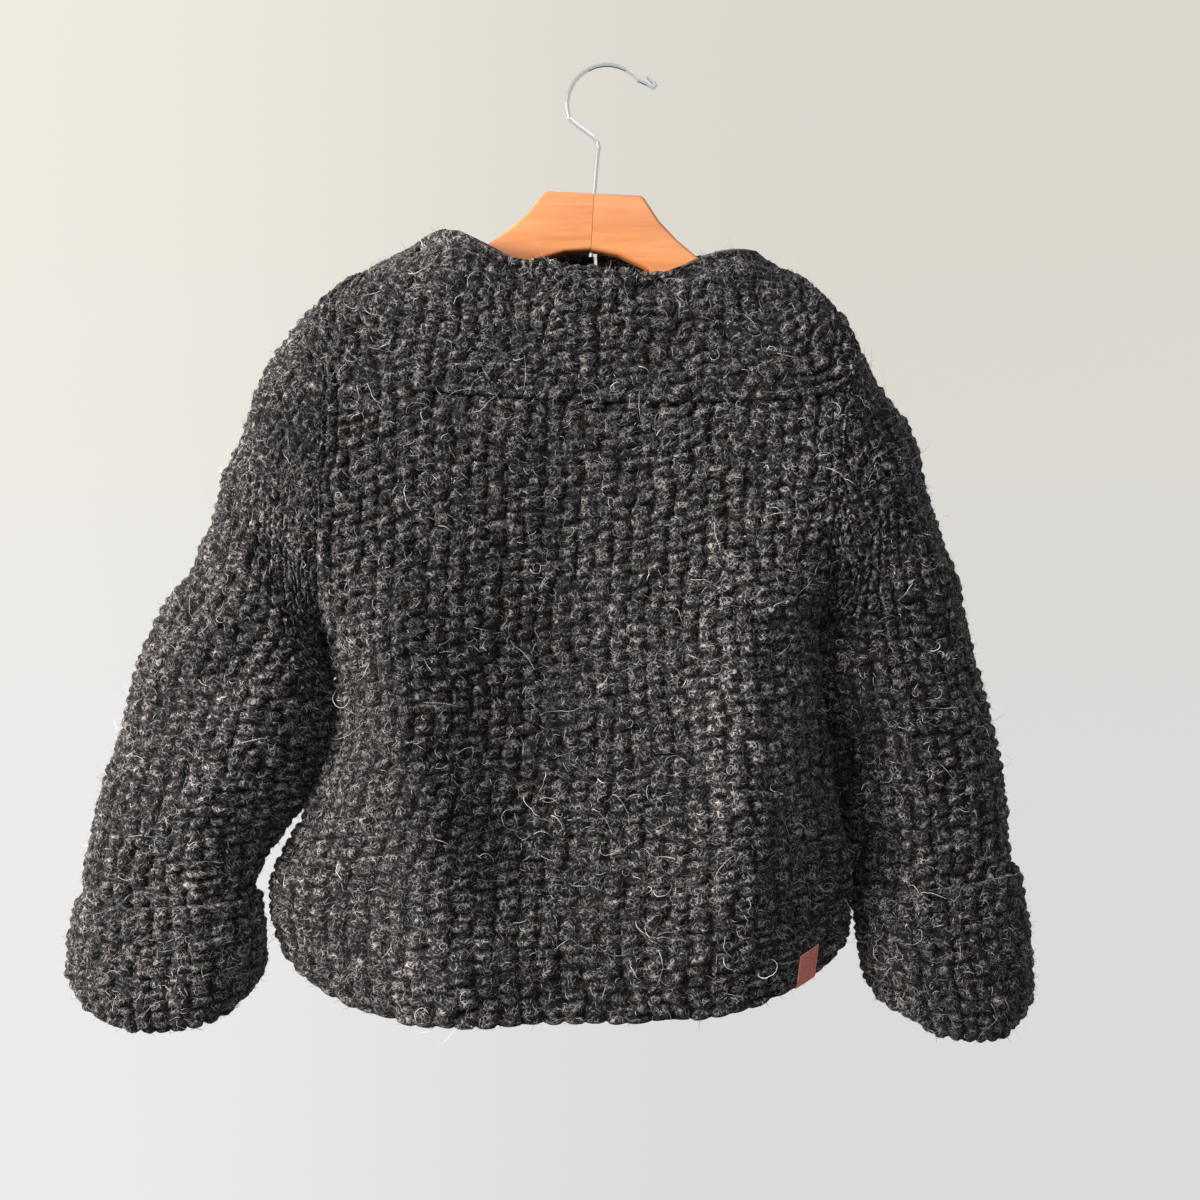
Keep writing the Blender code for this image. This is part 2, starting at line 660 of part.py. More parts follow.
def build_tag():
    """A leather strip folded over the back's hem, laid on the panel's own points."""
    stations = np.linspace(0, 1.5, 60)
    reach = np.linspace(-TAG_WIDTH / 2, TAG_WIDTH / 2, 5)
    gap, t = 0.6, TAG_THICKNESS
    front, behind = gap + t, -(WALL + gap + t)
    face = [(TAG_RISE, front), (TAG_RISE / 2, front), (0, front), (-1.2, front - 1.0), (-gap - t, front - 3.0)]
    face += [(-gap - t, behind + 3.0), (-1.2, behind + 1.0), (0, behind), (TAG_RISE / 2, behind)]
    face += [(TAG_RISE, behind)]
    hide = [(TAG_RISE, front - t), (TAG_RISE / 2, front - t), (0, front - t), (-gap, front - t - 0.6)]
    hide += [(-gap, front - t - 2.4), (-gap, behind + t + 2.4), (-gap, behind + t + 0.6), (0, behind + t)]
    hide += [(TAG_RISE / 2, behind + t), (TAG_RISE, behind + t)]

    def point(rise, off, across):
        x = TAG_X + across - TAG_LEAN * rise / TAG_RISE
        heights = torso("back", share_at(x, stations), stations)[:, 2]
        s = float(np.interp(heights[0] + max(rise, 0), heights, stations))
        u = np.array([float(share_at(x, s))])
        at = torso("back", u, np.array([s]))[0]
        at = at + torso_normal("back", u, np.array([max(s, 0.02)]), False)[0] * off
        return at + np.array([0, 0, min(rise, 0)])

    def sheet(profile):
        return np.array([[point(rise, off, across) for across in reach] for rise, off in profile])

    cloth_wall("hem_tag", sheet(face), sheet(hide), leather)


for old in list(bpy.data.objects):
    bpy.data.objects.remove(old)
garment = bpy.data.collections.new("knit_jacket")
cutters = bpy.data.collections.new("cutters")
bpy.context.scene.collection.children.link(garment)
bpy.context.scene.collection.children.link(cutters)
wool = material("wool", (0.045, 0.045, 0.05), 0.95)
wood = material("wood", (0.62, 0.33, 0.15), 0.45)
chrome = material("chrome", (0.75, 0.76, 0.78), 0.2, 1.0)
leather = material("leather", (0.28, 0.08, 0.05), 0.6)

BODY_STATIONS = [0, 0.5, 1.2, 2, 3, 4, 5, 6, 6.3, 6.7, 7.3, 8, 8.6, 9, 9.3, 9.6, 9.85, 10]
SLEEVE_STATIONS = [0, 0.4, 1, 2, 3, 4, 4.5, 5, 5.5, 6, 7, 8, 9, 10, WRIST]
under_collar = [
    panel("back", "back", BODY_STATIONS),
    panel("left_front", "front", BODY_STATIONS, meets=-1),
    panel("right_front", "front", BODY_STATIONS, meets=1),
    sleeve_pieces("left", LEFT_SLEEVE, 20),
    sleeve_pieces("right", RIGHT_SLEEVE, 20),
]
build_collar(under_collar)
hook_bore = make_bore()
hanger_arm("left_hanger_arm", -1)
hanger_arm("right_hanger_arm", 1)
build_hook()
build_tag()
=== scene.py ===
"""Looks of the chunky knit jacket on its hanger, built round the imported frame.

Metres, +Z up, the jacket's back toward -Y, the origin at the hook's inner crown. Tables are in millimetres.
"""
import json
import math

import bmesh
import bpy
import numpy as np
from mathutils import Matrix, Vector

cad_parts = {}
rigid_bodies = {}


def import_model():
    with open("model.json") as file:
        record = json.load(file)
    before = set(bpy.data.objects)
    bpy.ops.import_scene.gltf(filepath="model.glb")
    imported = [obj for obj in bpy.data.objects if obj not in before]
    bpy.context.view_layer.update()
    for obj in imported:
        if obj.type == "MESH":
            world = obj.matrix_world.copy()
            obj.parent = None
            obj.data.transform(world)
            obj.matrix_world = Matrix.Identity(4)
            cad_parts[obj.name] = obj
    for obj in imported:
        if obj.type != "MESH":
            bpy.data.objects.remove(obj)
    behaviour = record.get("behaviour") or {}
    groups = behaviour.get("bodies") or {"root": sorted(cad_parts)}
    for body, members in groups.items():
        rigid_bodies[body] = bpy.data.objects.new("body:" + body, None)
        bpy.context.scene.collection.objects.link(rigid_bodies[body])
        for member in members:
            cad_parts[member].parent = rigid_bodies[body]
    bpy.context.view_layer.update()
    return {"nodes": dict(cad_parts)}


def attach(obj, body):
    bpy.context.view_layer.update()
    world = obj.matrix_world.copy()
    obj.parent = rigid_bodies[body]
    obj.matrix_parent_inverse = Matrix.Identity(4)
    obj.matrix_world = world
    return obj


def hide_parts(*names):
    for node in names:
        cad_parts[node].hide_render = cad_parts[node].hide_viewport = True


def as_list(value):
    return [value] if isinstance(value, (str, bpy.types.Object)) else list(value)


MM = 0.001
WALL = 6.0  # from the cloth's face to the inside
SECTION_POWER = 2.3  # of the full ovals that the torso and sleeves have as sections
FRONT_GAP = 3.0
FRONT_TOP_X, FRONT_HEM_X = -9.0, -22.0
SEAM = 0.36
CUFF_DROP = 22  # how far the cuff's fold hangs for each station past the sleeve's end
CAMERA_AT, CAMERA_ANGLE = (-0.0052, -0.9986, -0.4099), math.radians(49.6)

# The torso's outline, from the hem up to the shoulder tips. Depths are to the outer face at mid width.
TORSO_COLUMNS = "left_x left_z right_x right_z back front"
TORSO = [
    (-249, -674, 186, -664, 60, 42),
    (-257, -645, 187, -640, 62, 44),
    (-255, -615, 185.5, -610, 62, 45),
    (-231, -570, 175, -560, 62, 45),
    (-210, -520, 168, -505, 60, 44),
    (-208, -475, 162, -460, 58, 43),
    (-213, -440, 160, -425, 56, 42),
    (-212, -370, 168, -358, 53, 39),
    (-210, -290, 175, -285, 49, 36),
    (-208, -225, 181, -240, 42, 32),
    (-207, -180, 184, -205, 42, 32),
]
ARMPIT, FULL_DEPTH, ROLL, TIP = 6, 8, 9, 10  # stations of the table above
HEM_DROP = 47  # the hem's middle hangs lower than its sides
HEM_FLAT, HEM_REACH, HEM_FADE = 4, 3, 1.3  # how flat that drop is across, its stations and how it fades
EASE_BELOW, ARM_SHARP = 1.5, 14  # stations of easing below the armpit, and how near the seam it ends
RIDGE_BLEND = 1.5  # how late the shoulders turn to the ridge

# Shoulder ridge, which lies on the hanger's arms, and the neck that is cut into it.
RIDGE_COLUMNS = "x z"
RIDGE = [(-260, -201.5), (-128, -145.1), (-94, -130.5), (69.7, -138.4), (112, -161.6), (230, -228.5)]
NECK_LEFT_X, NECK_RIGHT_X = -128, 112
NECK_MIDDLE_X, NECK_HALF = (NECK_LEFT_X + NECK_RIGHT_X) / 2, (NECK_RIGHT_X - NECK_LEFT_X) / 2
NECK_Z = {"back": -196, "front": -205}
NECK_TRIM, NECK_TRIM_WIDTH = 0.45, 9.0

# Folds of the cloth: side, top x and z, bottom x and z, half width, and height (negative is a trough).
FOLD_ONSET = 2.2  # how soon a fold has its whole height, in its own lengths
FOLDS = [
    ("back", -165, -400, -125, -720, 42, 6.0),
    ("back", -30, -300, -50, -700, 44, -9.0),
    ("back", 95, -330, 80, -720, 46, 6.0),
    ("front", -120, -330, -140, -700, 40, 5.0),
    ("front", 80, -330, 100, -700, 40, 5.0),
]

# The collar's outer edge, its fold line, and how far it stands off the shoulders. w runs round the neck,
# from -1 over the left shoulder to 1 over the right one.
COLLAR_COLUMNS = "w edge_x edge_z fold_z loft middle_loft"
COLLAR_SECTIONS, COLLAR_BUNCHING = 33, 1.5  # bunched toward the ridges
COLLAR_BACK = [
    (-1.0, -204, -179, -136, 7, 4),
    (-0.85, -221, -212, -143, 6, 3),
    (-0.65, -203, -237, -151, 3, 2),
    (-0.4, -155, -252, -155, 1, 1),
    (0.0, -10, -262, -164, 1, 1),
    (0.4, 100, -262, -168, 1, 1),
    (0.65, 170, -255, -164, 3, 3),
    (0.85, 186, -228, -154, 6, 7),
    (1.0, 175, -199, -149, 8, 9),
]
COLLAR_FRONT = [
    (-1.0, -204, -179, -136, 7, 4),
    (-0.85, -218, -212, -135, 6, 3),
    (-0.65, -200, -240, -133, 3, 2),
    (0.0, -10, -262, -134, 1, 1),
    (0.65, 166, -258, -140, 3, 3),
    (0.85, 184, -232, -146, 6, 7),
    (1.0, 175, -199, -149, 8, 9),
]
EDGE_LOFT, RIDGE_LOFT = -1.0, 2.4  # of the collar's outer edge, and what the ridge adds
COLLAR_MIDDLE = 0.45  # the share of the fall at which the middle loft holds
COLLAR_TAPER, TAPER_ROWS = 2.6, 2.2  # how far the collar thins toward its edge, and over how many rows
FOLD_RADIUS_LEAST = 7.5
STAND_GAP = 0.7  # between the collar's stand and the neck's edge below it
LEAF_GAP = 1.5  # between the collar and the cloth that it lies on
NECK_DIP = 3.5  # how late the neck's edge falls away from the ridge

# Sleeves, from the armhole to the fold of the cuff. Sag lowers the middle of a section against its ends.
SLEEVE_COLUMNS = "outer_x outer_z inner_x inner_z back front sag"
LEFT_SLEEVE = [
    (-207, -180, -213, -440, 50, 38, 0),
    (-223, -186, -215, -443, 49, 37, 0),
    (-240, -204, -215.5, -446, 48, 37, 0),
    (-264, -240, -215.5, -449, 46, 36, 0),
    (-282, -294, -215, -453, 44, 35, 0),
    (-302, -357, -213.5, -460, 43, 34, 0),
    (-340, -416, -210, -476, 43, 34, 0),
    (-367, -487, -211.6, -520, 44, 34, 0),
    (-386, -549, -231.5, -567, 42, 34, 0),
    (-399, -608, -261, -607, 38, 33, 0),
    (-400, -640, -272, -638, 36, 32, 2),
    (-402, -688, -273, -685, 36, 32, 10),
    (-394, -708, -281, -708, 34, 30, 20),
]
RIGHT_SLEEVE = [
    (184, -205, 160, -425, 50, 38, 0),
    (193, -219, 162, -428, 49, 37, 0),
    (206, -243, 163.4, -431, 48, 37, 0),
    (233, -281, 164, -435, 46, 36, 0),
    (243, -320, 164.3, -440, 44, 35, 0),
    (257, -362, 164.2, -448, 43, 34, 0),
    (271, -402, 164.6, -464, 43, 34, 0),
    (284, -460, 169, -500, 44, 34, 0),
    (295, -510, 174.1, -540, 42, 34, 0),
    (306, -562, 183, -588, 40, 33, 0),
    (310, -618, 195, -632, 36, 32, 2),
    (316, -694, 207, -694, 36, 32, 10),
    (312, -722, 216, -708, 34, 30, 20),
]
WRIST, CUFF_FOLD = 11, 12  # stations where the sleeve ends and where the cuff turns back

# The turned-back cuff's face, as station along the sleeve and distance out from the sleeve's face.
CUFF_COLUMNS = "station offset"
CUFF = [
    (11.018, -6.0),
    (11.6, -6.0),
    (11.95, -4.2),
    (12.12, 1.0),
    (11.95, 6.5),
    (11.6, 9.5),
    (11.1, 11.0),
    (10.6, 10.5),
    (10.15, 8.5),
    (9.95, 7.0),
]

# The hanger, about the middle of its top edge, before it is tilted. Only one arm's outline is given.
HANGER_AT = (-9.8, -98.4)
HANGER_TILT = math.radians(3)
HANGER_THICKNESS = 13
ARM_TOP = [(36, 0), (39, -2), (51, -18.5), (65, -32), (82, -45), (120, -64), (190, -98)]
ARM_BOTTOM = [(196, -110), (192, -119), (120, -92), (80, -76), (60, -67), (40, -54), (20, -46.5)]
ARCH_TOP_Z = -44
JOINT_X, WOOD_EDGE, BORE_RADIUS, BORE_ENDS = 0.15, 3.0, 2.1, (-60, 20)

PEAK, GROOVE = 1.7, 2.9  # how far the knit's stitches rise and its grooves sink about the cloth's face
STITCH_CELLS = (6, 5)  # mesh cells across and along one stitch
STITCH_SIZE = (13.4, 9.1)
STRENGTH, LEAN, SLIP, ASIDE, COLUMN_SLIP = (0.55, 1.0), 0.45, 0.28, 0.22, 0.3  # how uneven the stitches are
CORD_ROUND, CORD_FALL, BUMP_DIP, BUMP_REACH, BUMP_ROUND = 2.6, 0.6, 0.84, 1.09, 2.3  # a stitch's form
WANDER, COLLAR_WANDER = 0.22, 0.35  # how far, in stitches, the ribs and rows stray
ROUGH = 0.28  # millimetres of random height
PLAIN_HEIGHT = 0.5  # of the knit where something covers it
RIM_ANGLES = np.radians((35, 70, 110, 145))
RIM_BULGE = (1.2, 2.2)  # of a plain rim, and what a stitch adds
EDGE_STEP, END_STEP = (-0.6, 3.5), (-0.4, 4.0)  # height at an open side or end, and its rise per stitch

# Soft creases on top of the folds: side, a line from x, z to x, z, half width and height.
CREASE_PAST, CREASE_HELD, CREASE_FADE = 0.4, 0.35, 0.05  # how a crease runs out past its ends
CREASES = [
    ("all", -211, -478, -213, -528, 9, 2.6),
    ("all", -214, -530, -230, -566, 9, 2.6),
    ("all", 159, -416, 168, -500, 12, 6.0),
    ("all", 171, -518, 179, -570, 9, 3.4),
    ("all", 182, -585, 192, -628, 10, 5.0),
    ("back", 198, -490, 214, -620, 18, -8.0),
    ("back", -292, -540, -300, -715, 24, 5.5),
    ("back", -216, -330, -218, -400, 14, 4.0),
    ("back", -262, -345, -232, -405, 12, -5.0),
    ("all", -292, -305, -318, -372, 26, 7.0),
    ("back", -300, -285, -330, -345, 16, 2.5),
    ("back", -270, -330, -330, -395, 15, -3.0),
    ("back", -255, -395, -350, -470, 18, 3.0),
    ("back", -262, -455, -372, -520, 16, -3.5),
    ("back", -280, -560, -360, -560, 22, 2.5),
    ("back", 215, -400, 262, -398, 13, 3.5),
    ("back", 190, -428, 270, -440, 12, -4.5),
    ("back", 200, -470, 280, -500, 20, 2.5),
    ("back", 215, -560, 290, -590, 18, -2.5),
    ("back", -205, -430, -120, -500, 20, -2.5),
    ("back", 160, -415, 105, -480, 18, -2.5),
    ("back", -120, -470, 40, -520, 26, 1.6),
    ("back", -150, -600, 60, -630, 30, -1.5),
    ("back", -158, -430, -112, -680, 32, 8.0),
    ("back", -78, -380, -66, -600, 40, -8.0),
    ("back", -66, -655, -60, -720, 44, 7.0),
    ("back", 118, -420, 96, -640, 36, 12.0),
    ("back", 20, -420, 10, -600, 34, -2.5),
    ("front", -130, -420, -100, -690, 34, 2.5),
    ("front", 60, -380, 66, -690, 36, -2.5),
    ("front", -300, -330, -350, -420, 18, -2.5),
    ("front", 215, -400, 270, -430, 15, -3.0),
    ("front", -190, -430, -110, -500, 20, -2.5),
    ("front", 150, -415, 95, -480, 18, -2.5),
]

# Broad painted shade and painted light on the wool, where folds, sleeves and the body's sides turn from or
# toward the light or lie in cast shadow: middle x and z, half width and height, and change of tone.
AREAS = [
    (-144, -480, 34, 120, -0.46),
    (-51, -480, 36, 150, -0.48),
    (87, -490, 32, 120, 0.70),
    (133, -480, 24, 110, 0.60),
    (184, -510, 22, 130, -0.68),
    (228, -490, 32, 130, -0.36),
    (250, -680, 50, 60, -0.34),
    (-282, -560, 28, 150, 0.75),
    (-328, -660, 30, 70, 0.20),
    (-98, -650, 34, 50, 0.60),
    (-150, -680, 34, 50, 0.45),
    (-215, -290, 36, 30, -0.42),
    (-98, -310, 70, 40, -0.28),
    (0, -290, 30, 30, -0.20),
    (133, -195, 40, 24, -0.25),
]

BODY_RIBS, BODY_ROWS, FRONT_RIBS = 32, 58, 15
SLEEVE_RIBS, SLEEVE_ROWS = 28, 50
CUFF_RIBS, CUFF_ROWS = 26, 15
COVER_GAP, COVER_FADE, TAG_MARGIN, TAG_FADE = 2, 6, 1.25, 4  # where the collar or tag makes the knit plain
COVERED_FROM, COVERED_ROWS = 9.25, 9  # station above which the collar hides the panels, and rows there
CUFF_COVERS, CUFF_FADE = 10.3, 0.3  # station past which the cuff hides the sleeve
MID_TORSO, MID_SLEEVE = 4.0, 5.0  # stations at which ribs are spaced evenly
COLLAR_RIBS, COLLAR_ROWS = 60, 30
TAG_BOX = (146, -682, 11, 20)  # middle x and z, half width and half height of the plain spot under the tag

# Fine fibres in the wool's colour: scale, offset, width of a line and how few there are.
FIBRE_LAYERS = [
    (190.0, 0.00, 0.046, 0.47),
    (260.0, 0.37, 0.052, 0.47),
    (150.0, 0.81, 0.034, 0.49),
    (340.0, 1.33, 0.060, 0.48),
]
HAIR_REACH = 0.0045  # how far hairs stand off the knit at most
HAIR_DEPTHS = (-0.0765, 0.0585)  # no hair reaches past these
HAIR_START = 0.0002  # above the face that it grows from
HAIR_SHORTNESS = 1.7  # how much commoner the shorter ones are
HAIR_TILT, HAIR_WOBBLE, HAIR_SETTLE, HAIR_TWIST, HAIR_TAPER = 0.55, 0.22, 0.12, 0.2, 0.75
GROOVE_HAIRS = 0.35  # share of hairs in a groove beside a stitch's top
# Length and width from least to most, segments, curl, and how steeply they leave the face.
SHORT_HAIRS = ((0.003, 0.009), (0.00022, 0.00042), 4, 3.4, (0.1, 0.8))
LONG_HAIRS = ((0.010, 0.034), (0.00020, 0.00036), 10, 4.5, (0.1, 0.9))
LARGEST_HAIRY_FACE = 2e-5  # square metres; the coarse inside has larger faces and no hairs
WOOL_GROUND, WOOL_FIBRE, FIBRE_STRENGTH = (0.015, 0.0138, 0.0155), (0.36, 0.325, 0.305), 0.85
FIBRE_CURL = 0.006  # metres by which the fibres' lines bend
# Hairs: the set's name, the pieces that they grow on, how many short and long ones, and a seed.
HAIR_SETS = [
    ("back_fibres", ["back"], 12000, 420, 101),
    ("fronts_fibres", ["left_front", "right_front"], 9000, 300, 102),
    ("sleeves_fibres", ["left_sleeve", "right_sleeve"], 13000, 420, 103),
    ("collar_and_cuffs_fibres", ["collar", "left_cuff", "right_cuff"], 14000, 420, 104),
]
HAIR_PALE, HAIR_WHITE = (0.34, 0.32, 0.31), (0.72, 0.69, 0.65)
WOOD_DARK, WOOD_LIGHT = (0.76, 0.25, 0.078), (0.94, 0.385, 0.135)
LEATHER_DARK, LEATHER_LIGHT = (0.55, 0.13, 0.09), (0.75, 0.24, 0.18)
# Painted light on the glowing wall: brighter on the left, toward the lamp, and changing in tone from top to
# bottom.
WALL_HIGH = (0.871, 0.831, 0.761, 1), (0.716, 0.687, 0.624, 1)  # left and right
WALL_LOW = (0.839, 0.839, 0.839, 1), (0.708, 0.708, 0.708, 1)
WALL_SPREAD_X, WALL_SPREAD_Z = (-2.3, 0.7), (1.0, -1.6)  # metres over which the wall's tones change
AMBIENT, AMBIENT_STRENGTH = (0.78, 0.84, 0.96), 0.20
FLOOR_Z, ROOM_TOP, ROOM_RADIUS, ROOM_CURVE, ROOM_SIDES = -3.2, 3.4, 4.2, 0.6, 96
LIT_POINT = (-0.03, 0, -0.42)
LIGHTS = [
    ("key", (-2.4, -1.0, 0.35), 0.8, 150, (1.0, 0.955, 0.90)),
    ("sky", (0.2, -1.6, 1.2), 1.6, 14, (0.90, 0.95, 1.0)),
]


def column(table, names, wanted):
    """One named column of a table."""
    at = names.split().index(wanted)
    return np.array([row[at] for row in table], float)


def blend(a, leave, b, arrive, t):
    """A curve from a to b at a share t of the way, with its slopes at both ends."""
    return (
        a * (2 * t**3 - 3 * t**2 + 1)
        + leave * (t**3 - 2 * t**2 + t)
        + b * (3 * t**2 - 2 * t**3)
        + arrive * (t**3 - t**2)
    )


def smooth(values, at):
    """A smooth curve through evenly spaced values, read at a station or an array of them."""
    v = np.asarray(values, float)
    s = np.clip(np.asarray(at, float), 0, len(v) - 1)
    i = np.minimum(s.astype(int), len(v) - 2)
    slope = np.gradient(v)
    return blend(v[i], slope[i], v[i + 1], slope[i + 1], s - i)


def read_row(table, names, at):
    """Every named column of a table, read on smooth curves at a station."""
    return {name: smooth(column(table, names, name), at) for name in names.split()}


def unit(ways, least=0.0):
    """Ways of length 1."""
    return ways / np.maximum(np.linalg.norm(ways, axis=-1, keepdims=True), least)


def path_lengths(points):
    """Distance along a path to each of its points."""
    return np.concatenate([[0], np.cumsum(np.linalg.norm(np.diff(points, axis=0), axis=1))])


def even_steps(points, places, count):
    """Places at equal distances along a path whose points have given places."""
    along = path_lengths(points)
    return np.interp(np.linspace(0, along[-1], count), along, places)


def placed(name, data):
    """A new object in the scene."""
    piece = bpy.data.objects.new(name, data)
    bpy.context.scene.collection.objects.link(piece)
    return piece


def grid_faces(rows, columns, closed):
    """Corners of each face of a grid of points that are numbered along its rows."""
    r, c = np.meshgrid(np.arange(rows - 1), np.arange(columns if closed else columns - 1), indexing="ij")
    d = (c + 1) % columns
    corners = [r * columns + c, r * columns + d, (r + 1) * columns + d, (r + 1) * columns + c]
    return np.stack(corners, -1).reshape(-1, 4)


def oval(share):
    """Height of a full oval over its long axis, at a share -1 to 1 of the half width."""
    s = np.clip(np.abs(share), 0, 1)
    return (1 - s**SECTION_POWER) ** (1 / SECTION_POWER)


def fold_height(side, x, z):
    """How far the folds move a point outward."""
    height = np.zeros_like(x)
    for where, top_x, top_z, bottom_x, bottom_z, half_width, high in FOLDS:
        if where != side:
            continue
        along = np.clip((z - top_z) / (bottom_z - top_z), 0, 1)
        across = (x - top_x - (bottom_x - top_x) * along) / half_width
        height = height + high * np.exp(-(across**2)) * np.sin(np.pi / 2 * np.minimum(1, FOLD_ONSET * along))
    return height


def torso(side, u, s):
    """Outer face of the torso: u is -1 at the left seam and 1 at the right, s is a station of TORSO."""
    u, s = np.broadcast_arrays(np.asarray(u, float), np.asarray(s, float))
    quarter = math.pi / 2
    roll = np.clip(s - ROLL, 0, 1) * quarter
    arm = np.clip((s - ARMPIT) / (FULL_DEPTH - ARMPIT), 0, 1) * quarter
    at = np.where(s > ROLL, ROLL + np.sin(roll), s)
    span = FULL_DEPTH - ARMPIT
    at = np.where((s > ARMPIT) & (s < FULL_DEPTH), ARMPIT + span * (1 - np.cos(arm)), at)
    table = read_row(TORSO, TORSO_COLUMNS, at)
    share = (u + 1) / 2
    x = table["left_x"] + (table["right_x"] - table["left_x"]) * share
    z = table["left_z"] + (table["right_z"] - table["left_z"]) * share

    tip_x = TORSO[TIP][0] + (TORSO[TIP][2] - TORSO[TIP][0]) * share
    tip_z = TORSO[TIP][1] + (TORSO[TIP][3] - TORSO[TIP][1]) * share
    ridge = np.interp(tip_x, column(RIDGE, RIDGE_COLUMNS, "x"), column(RIDGE, RIDGE_COLUMNS, "z"))
    neck = oval((tip_x - NECK_MIDDLE_X) / NECK_HALF)
    top_z = ridge + (NECK_Z[side] - ridge) * neck**NECK_DIP
    z = z + (top_z - tip_z) * np.clip((at - ARMPIT) / (TIP - ARMPIT), 0, 1) ** RIDGE_BLEND
    drop = (1 - np.clip(np.abs(u), 0, 1) ** HEM_FLAT) * np.clip(1 - at / HEM_REACH, 0, 1) ** HEM_FADE
    z = z - HEM_DROP * drop

    ease = np.clip((s - ARMPIT + EASE_BELOW) / (FULL_DEPTH - ARMPIT + EASE_BELOW), 0, 1)
    ease = ease * ease * (3 - 2 * ease)
    at_arm = ease + (np.sin(arm) - ease) * np.clip(np.abs(u), 0, 1) ** ARM_SHARP
    across = at_arm + (1 - at_arm) * oval(u)
    rolled = np.cos(roll) + (1 - np.cos(roll)) * neck
    depth = (table[side] + fold_height(side, x, z)) * across * rolled
    y = -depth if side == "back" else depth
    return np.stack([x, y, z], -1)


def armhole_depth(table, across, side):
    """Depth of the armhole at a share of the way down from the shoulder tip to the armpit."""
    u = -1 if table is LEFT_SLEEVE else 1
    stations = np.linspace(ARMPIT, TIP, 200)
    edge = torso(side, np.full(200, u), stations)
    z = table[0][1] + (table[0][3] - table[0][1]) * across
    return np.interp(z, edge[:, 2], np.abs(edge[:, 1]))


def sleeve(table, angle, across, s):
    """Outer face of a sleeve at a station, round the section. It starts as the armhole."""
    row = read_row(table, SLEEVE_COLUMNS, s)
    x = row["outer_x"] + (row["inner_x"] - row["outer_x"]) * across
    z = row["outer_z"] + (row["inner_z"] - row["outer_z"]) * across
    height = oval(2 * across - 1)
    z = z - row["sag"] * height**2
    back = np.sin(angle) >= 0
    plain = np.where(back, row["back"], row["front"]) * height
    ring = np.where(back, armhole_depth(table, across, "back"), armhole_depth(table, across, "front"))
    own = np.clip(s / 3, 0, 1)
    depth = ring * (1 - own) + plain * own
    return np.stack([x, np.where(back, -depth, depth), z], -1)


def face_normals(grid, closed):
    """Normals of a grid of points: rows by columns, the columns closed round a tube or open."""
    across = np.roll(grid, -1, 1) - np.roll(grid, 1, 1) if closed else np.gradient(grid, axis=1)
    return unit(np.cross(across, np.gradient(grid, axis=0)), 1e-9)


def share_at(x, station):
    """The share of the torso's width at which x lies, at a station."""
    left = smooth(column(TORSO, TORSO_COLUMNS, "left_x"), station)
    right = smooth(column(TORSO, TORSO_COLUMNS, "right_x"), station)
    return (2 * x - left - right) / (right - left)


def front_line(station):
    """X of the line where the fronts meet."""
    return FRONT_HEM_X + (FRONT_TOP_X - FRONT_HEM_X) * station / TIP


def neck_x(w):
    """X of the neck's edge at a place round the neck: w is -1 on the left ridge and 1 on the right one."""
    return NECK_MIDDLE_X + NECK_HALF * np.sin(np.asarray(w) * math.pi / 2)


def neck_trim(u):
    """How far below the neck's line a panel is cut, in stations, so that the collar's stand has room."""
    x = torso("back", u, TIP)[..., 0]
    inside = np.minimum(x - NECK_LEFT_X, NECK_RIGHT_X - x) / NECK_TRIM_WIDTH + 1
    return NECK_TRIM * np.clip(inside, 0, 1)


def neck_edge(side, w):
    """A point of the neck's edge and its share of the torso's width."""
    u = float(share_at(neck_x(w), TIP))
    return u, torso(side, u, TIP)


def torso_normal(side, u, s, on_ridge):
    """Outward normals of the torso's face at some of its points."""
    step = 0.01
    s = np.minimum(s, TIP - step)
    along_u = torso(side, u + step, s) - torso(side, u - step, s)
    along_s = torso(side, u, s) - torso(side, u, s - step)
    normal = np.cross(along_u, along_s) * (1 if side == "back" else -1)
    if on_ridge:
        normal[:, 1] = 0
    return unit(normal)


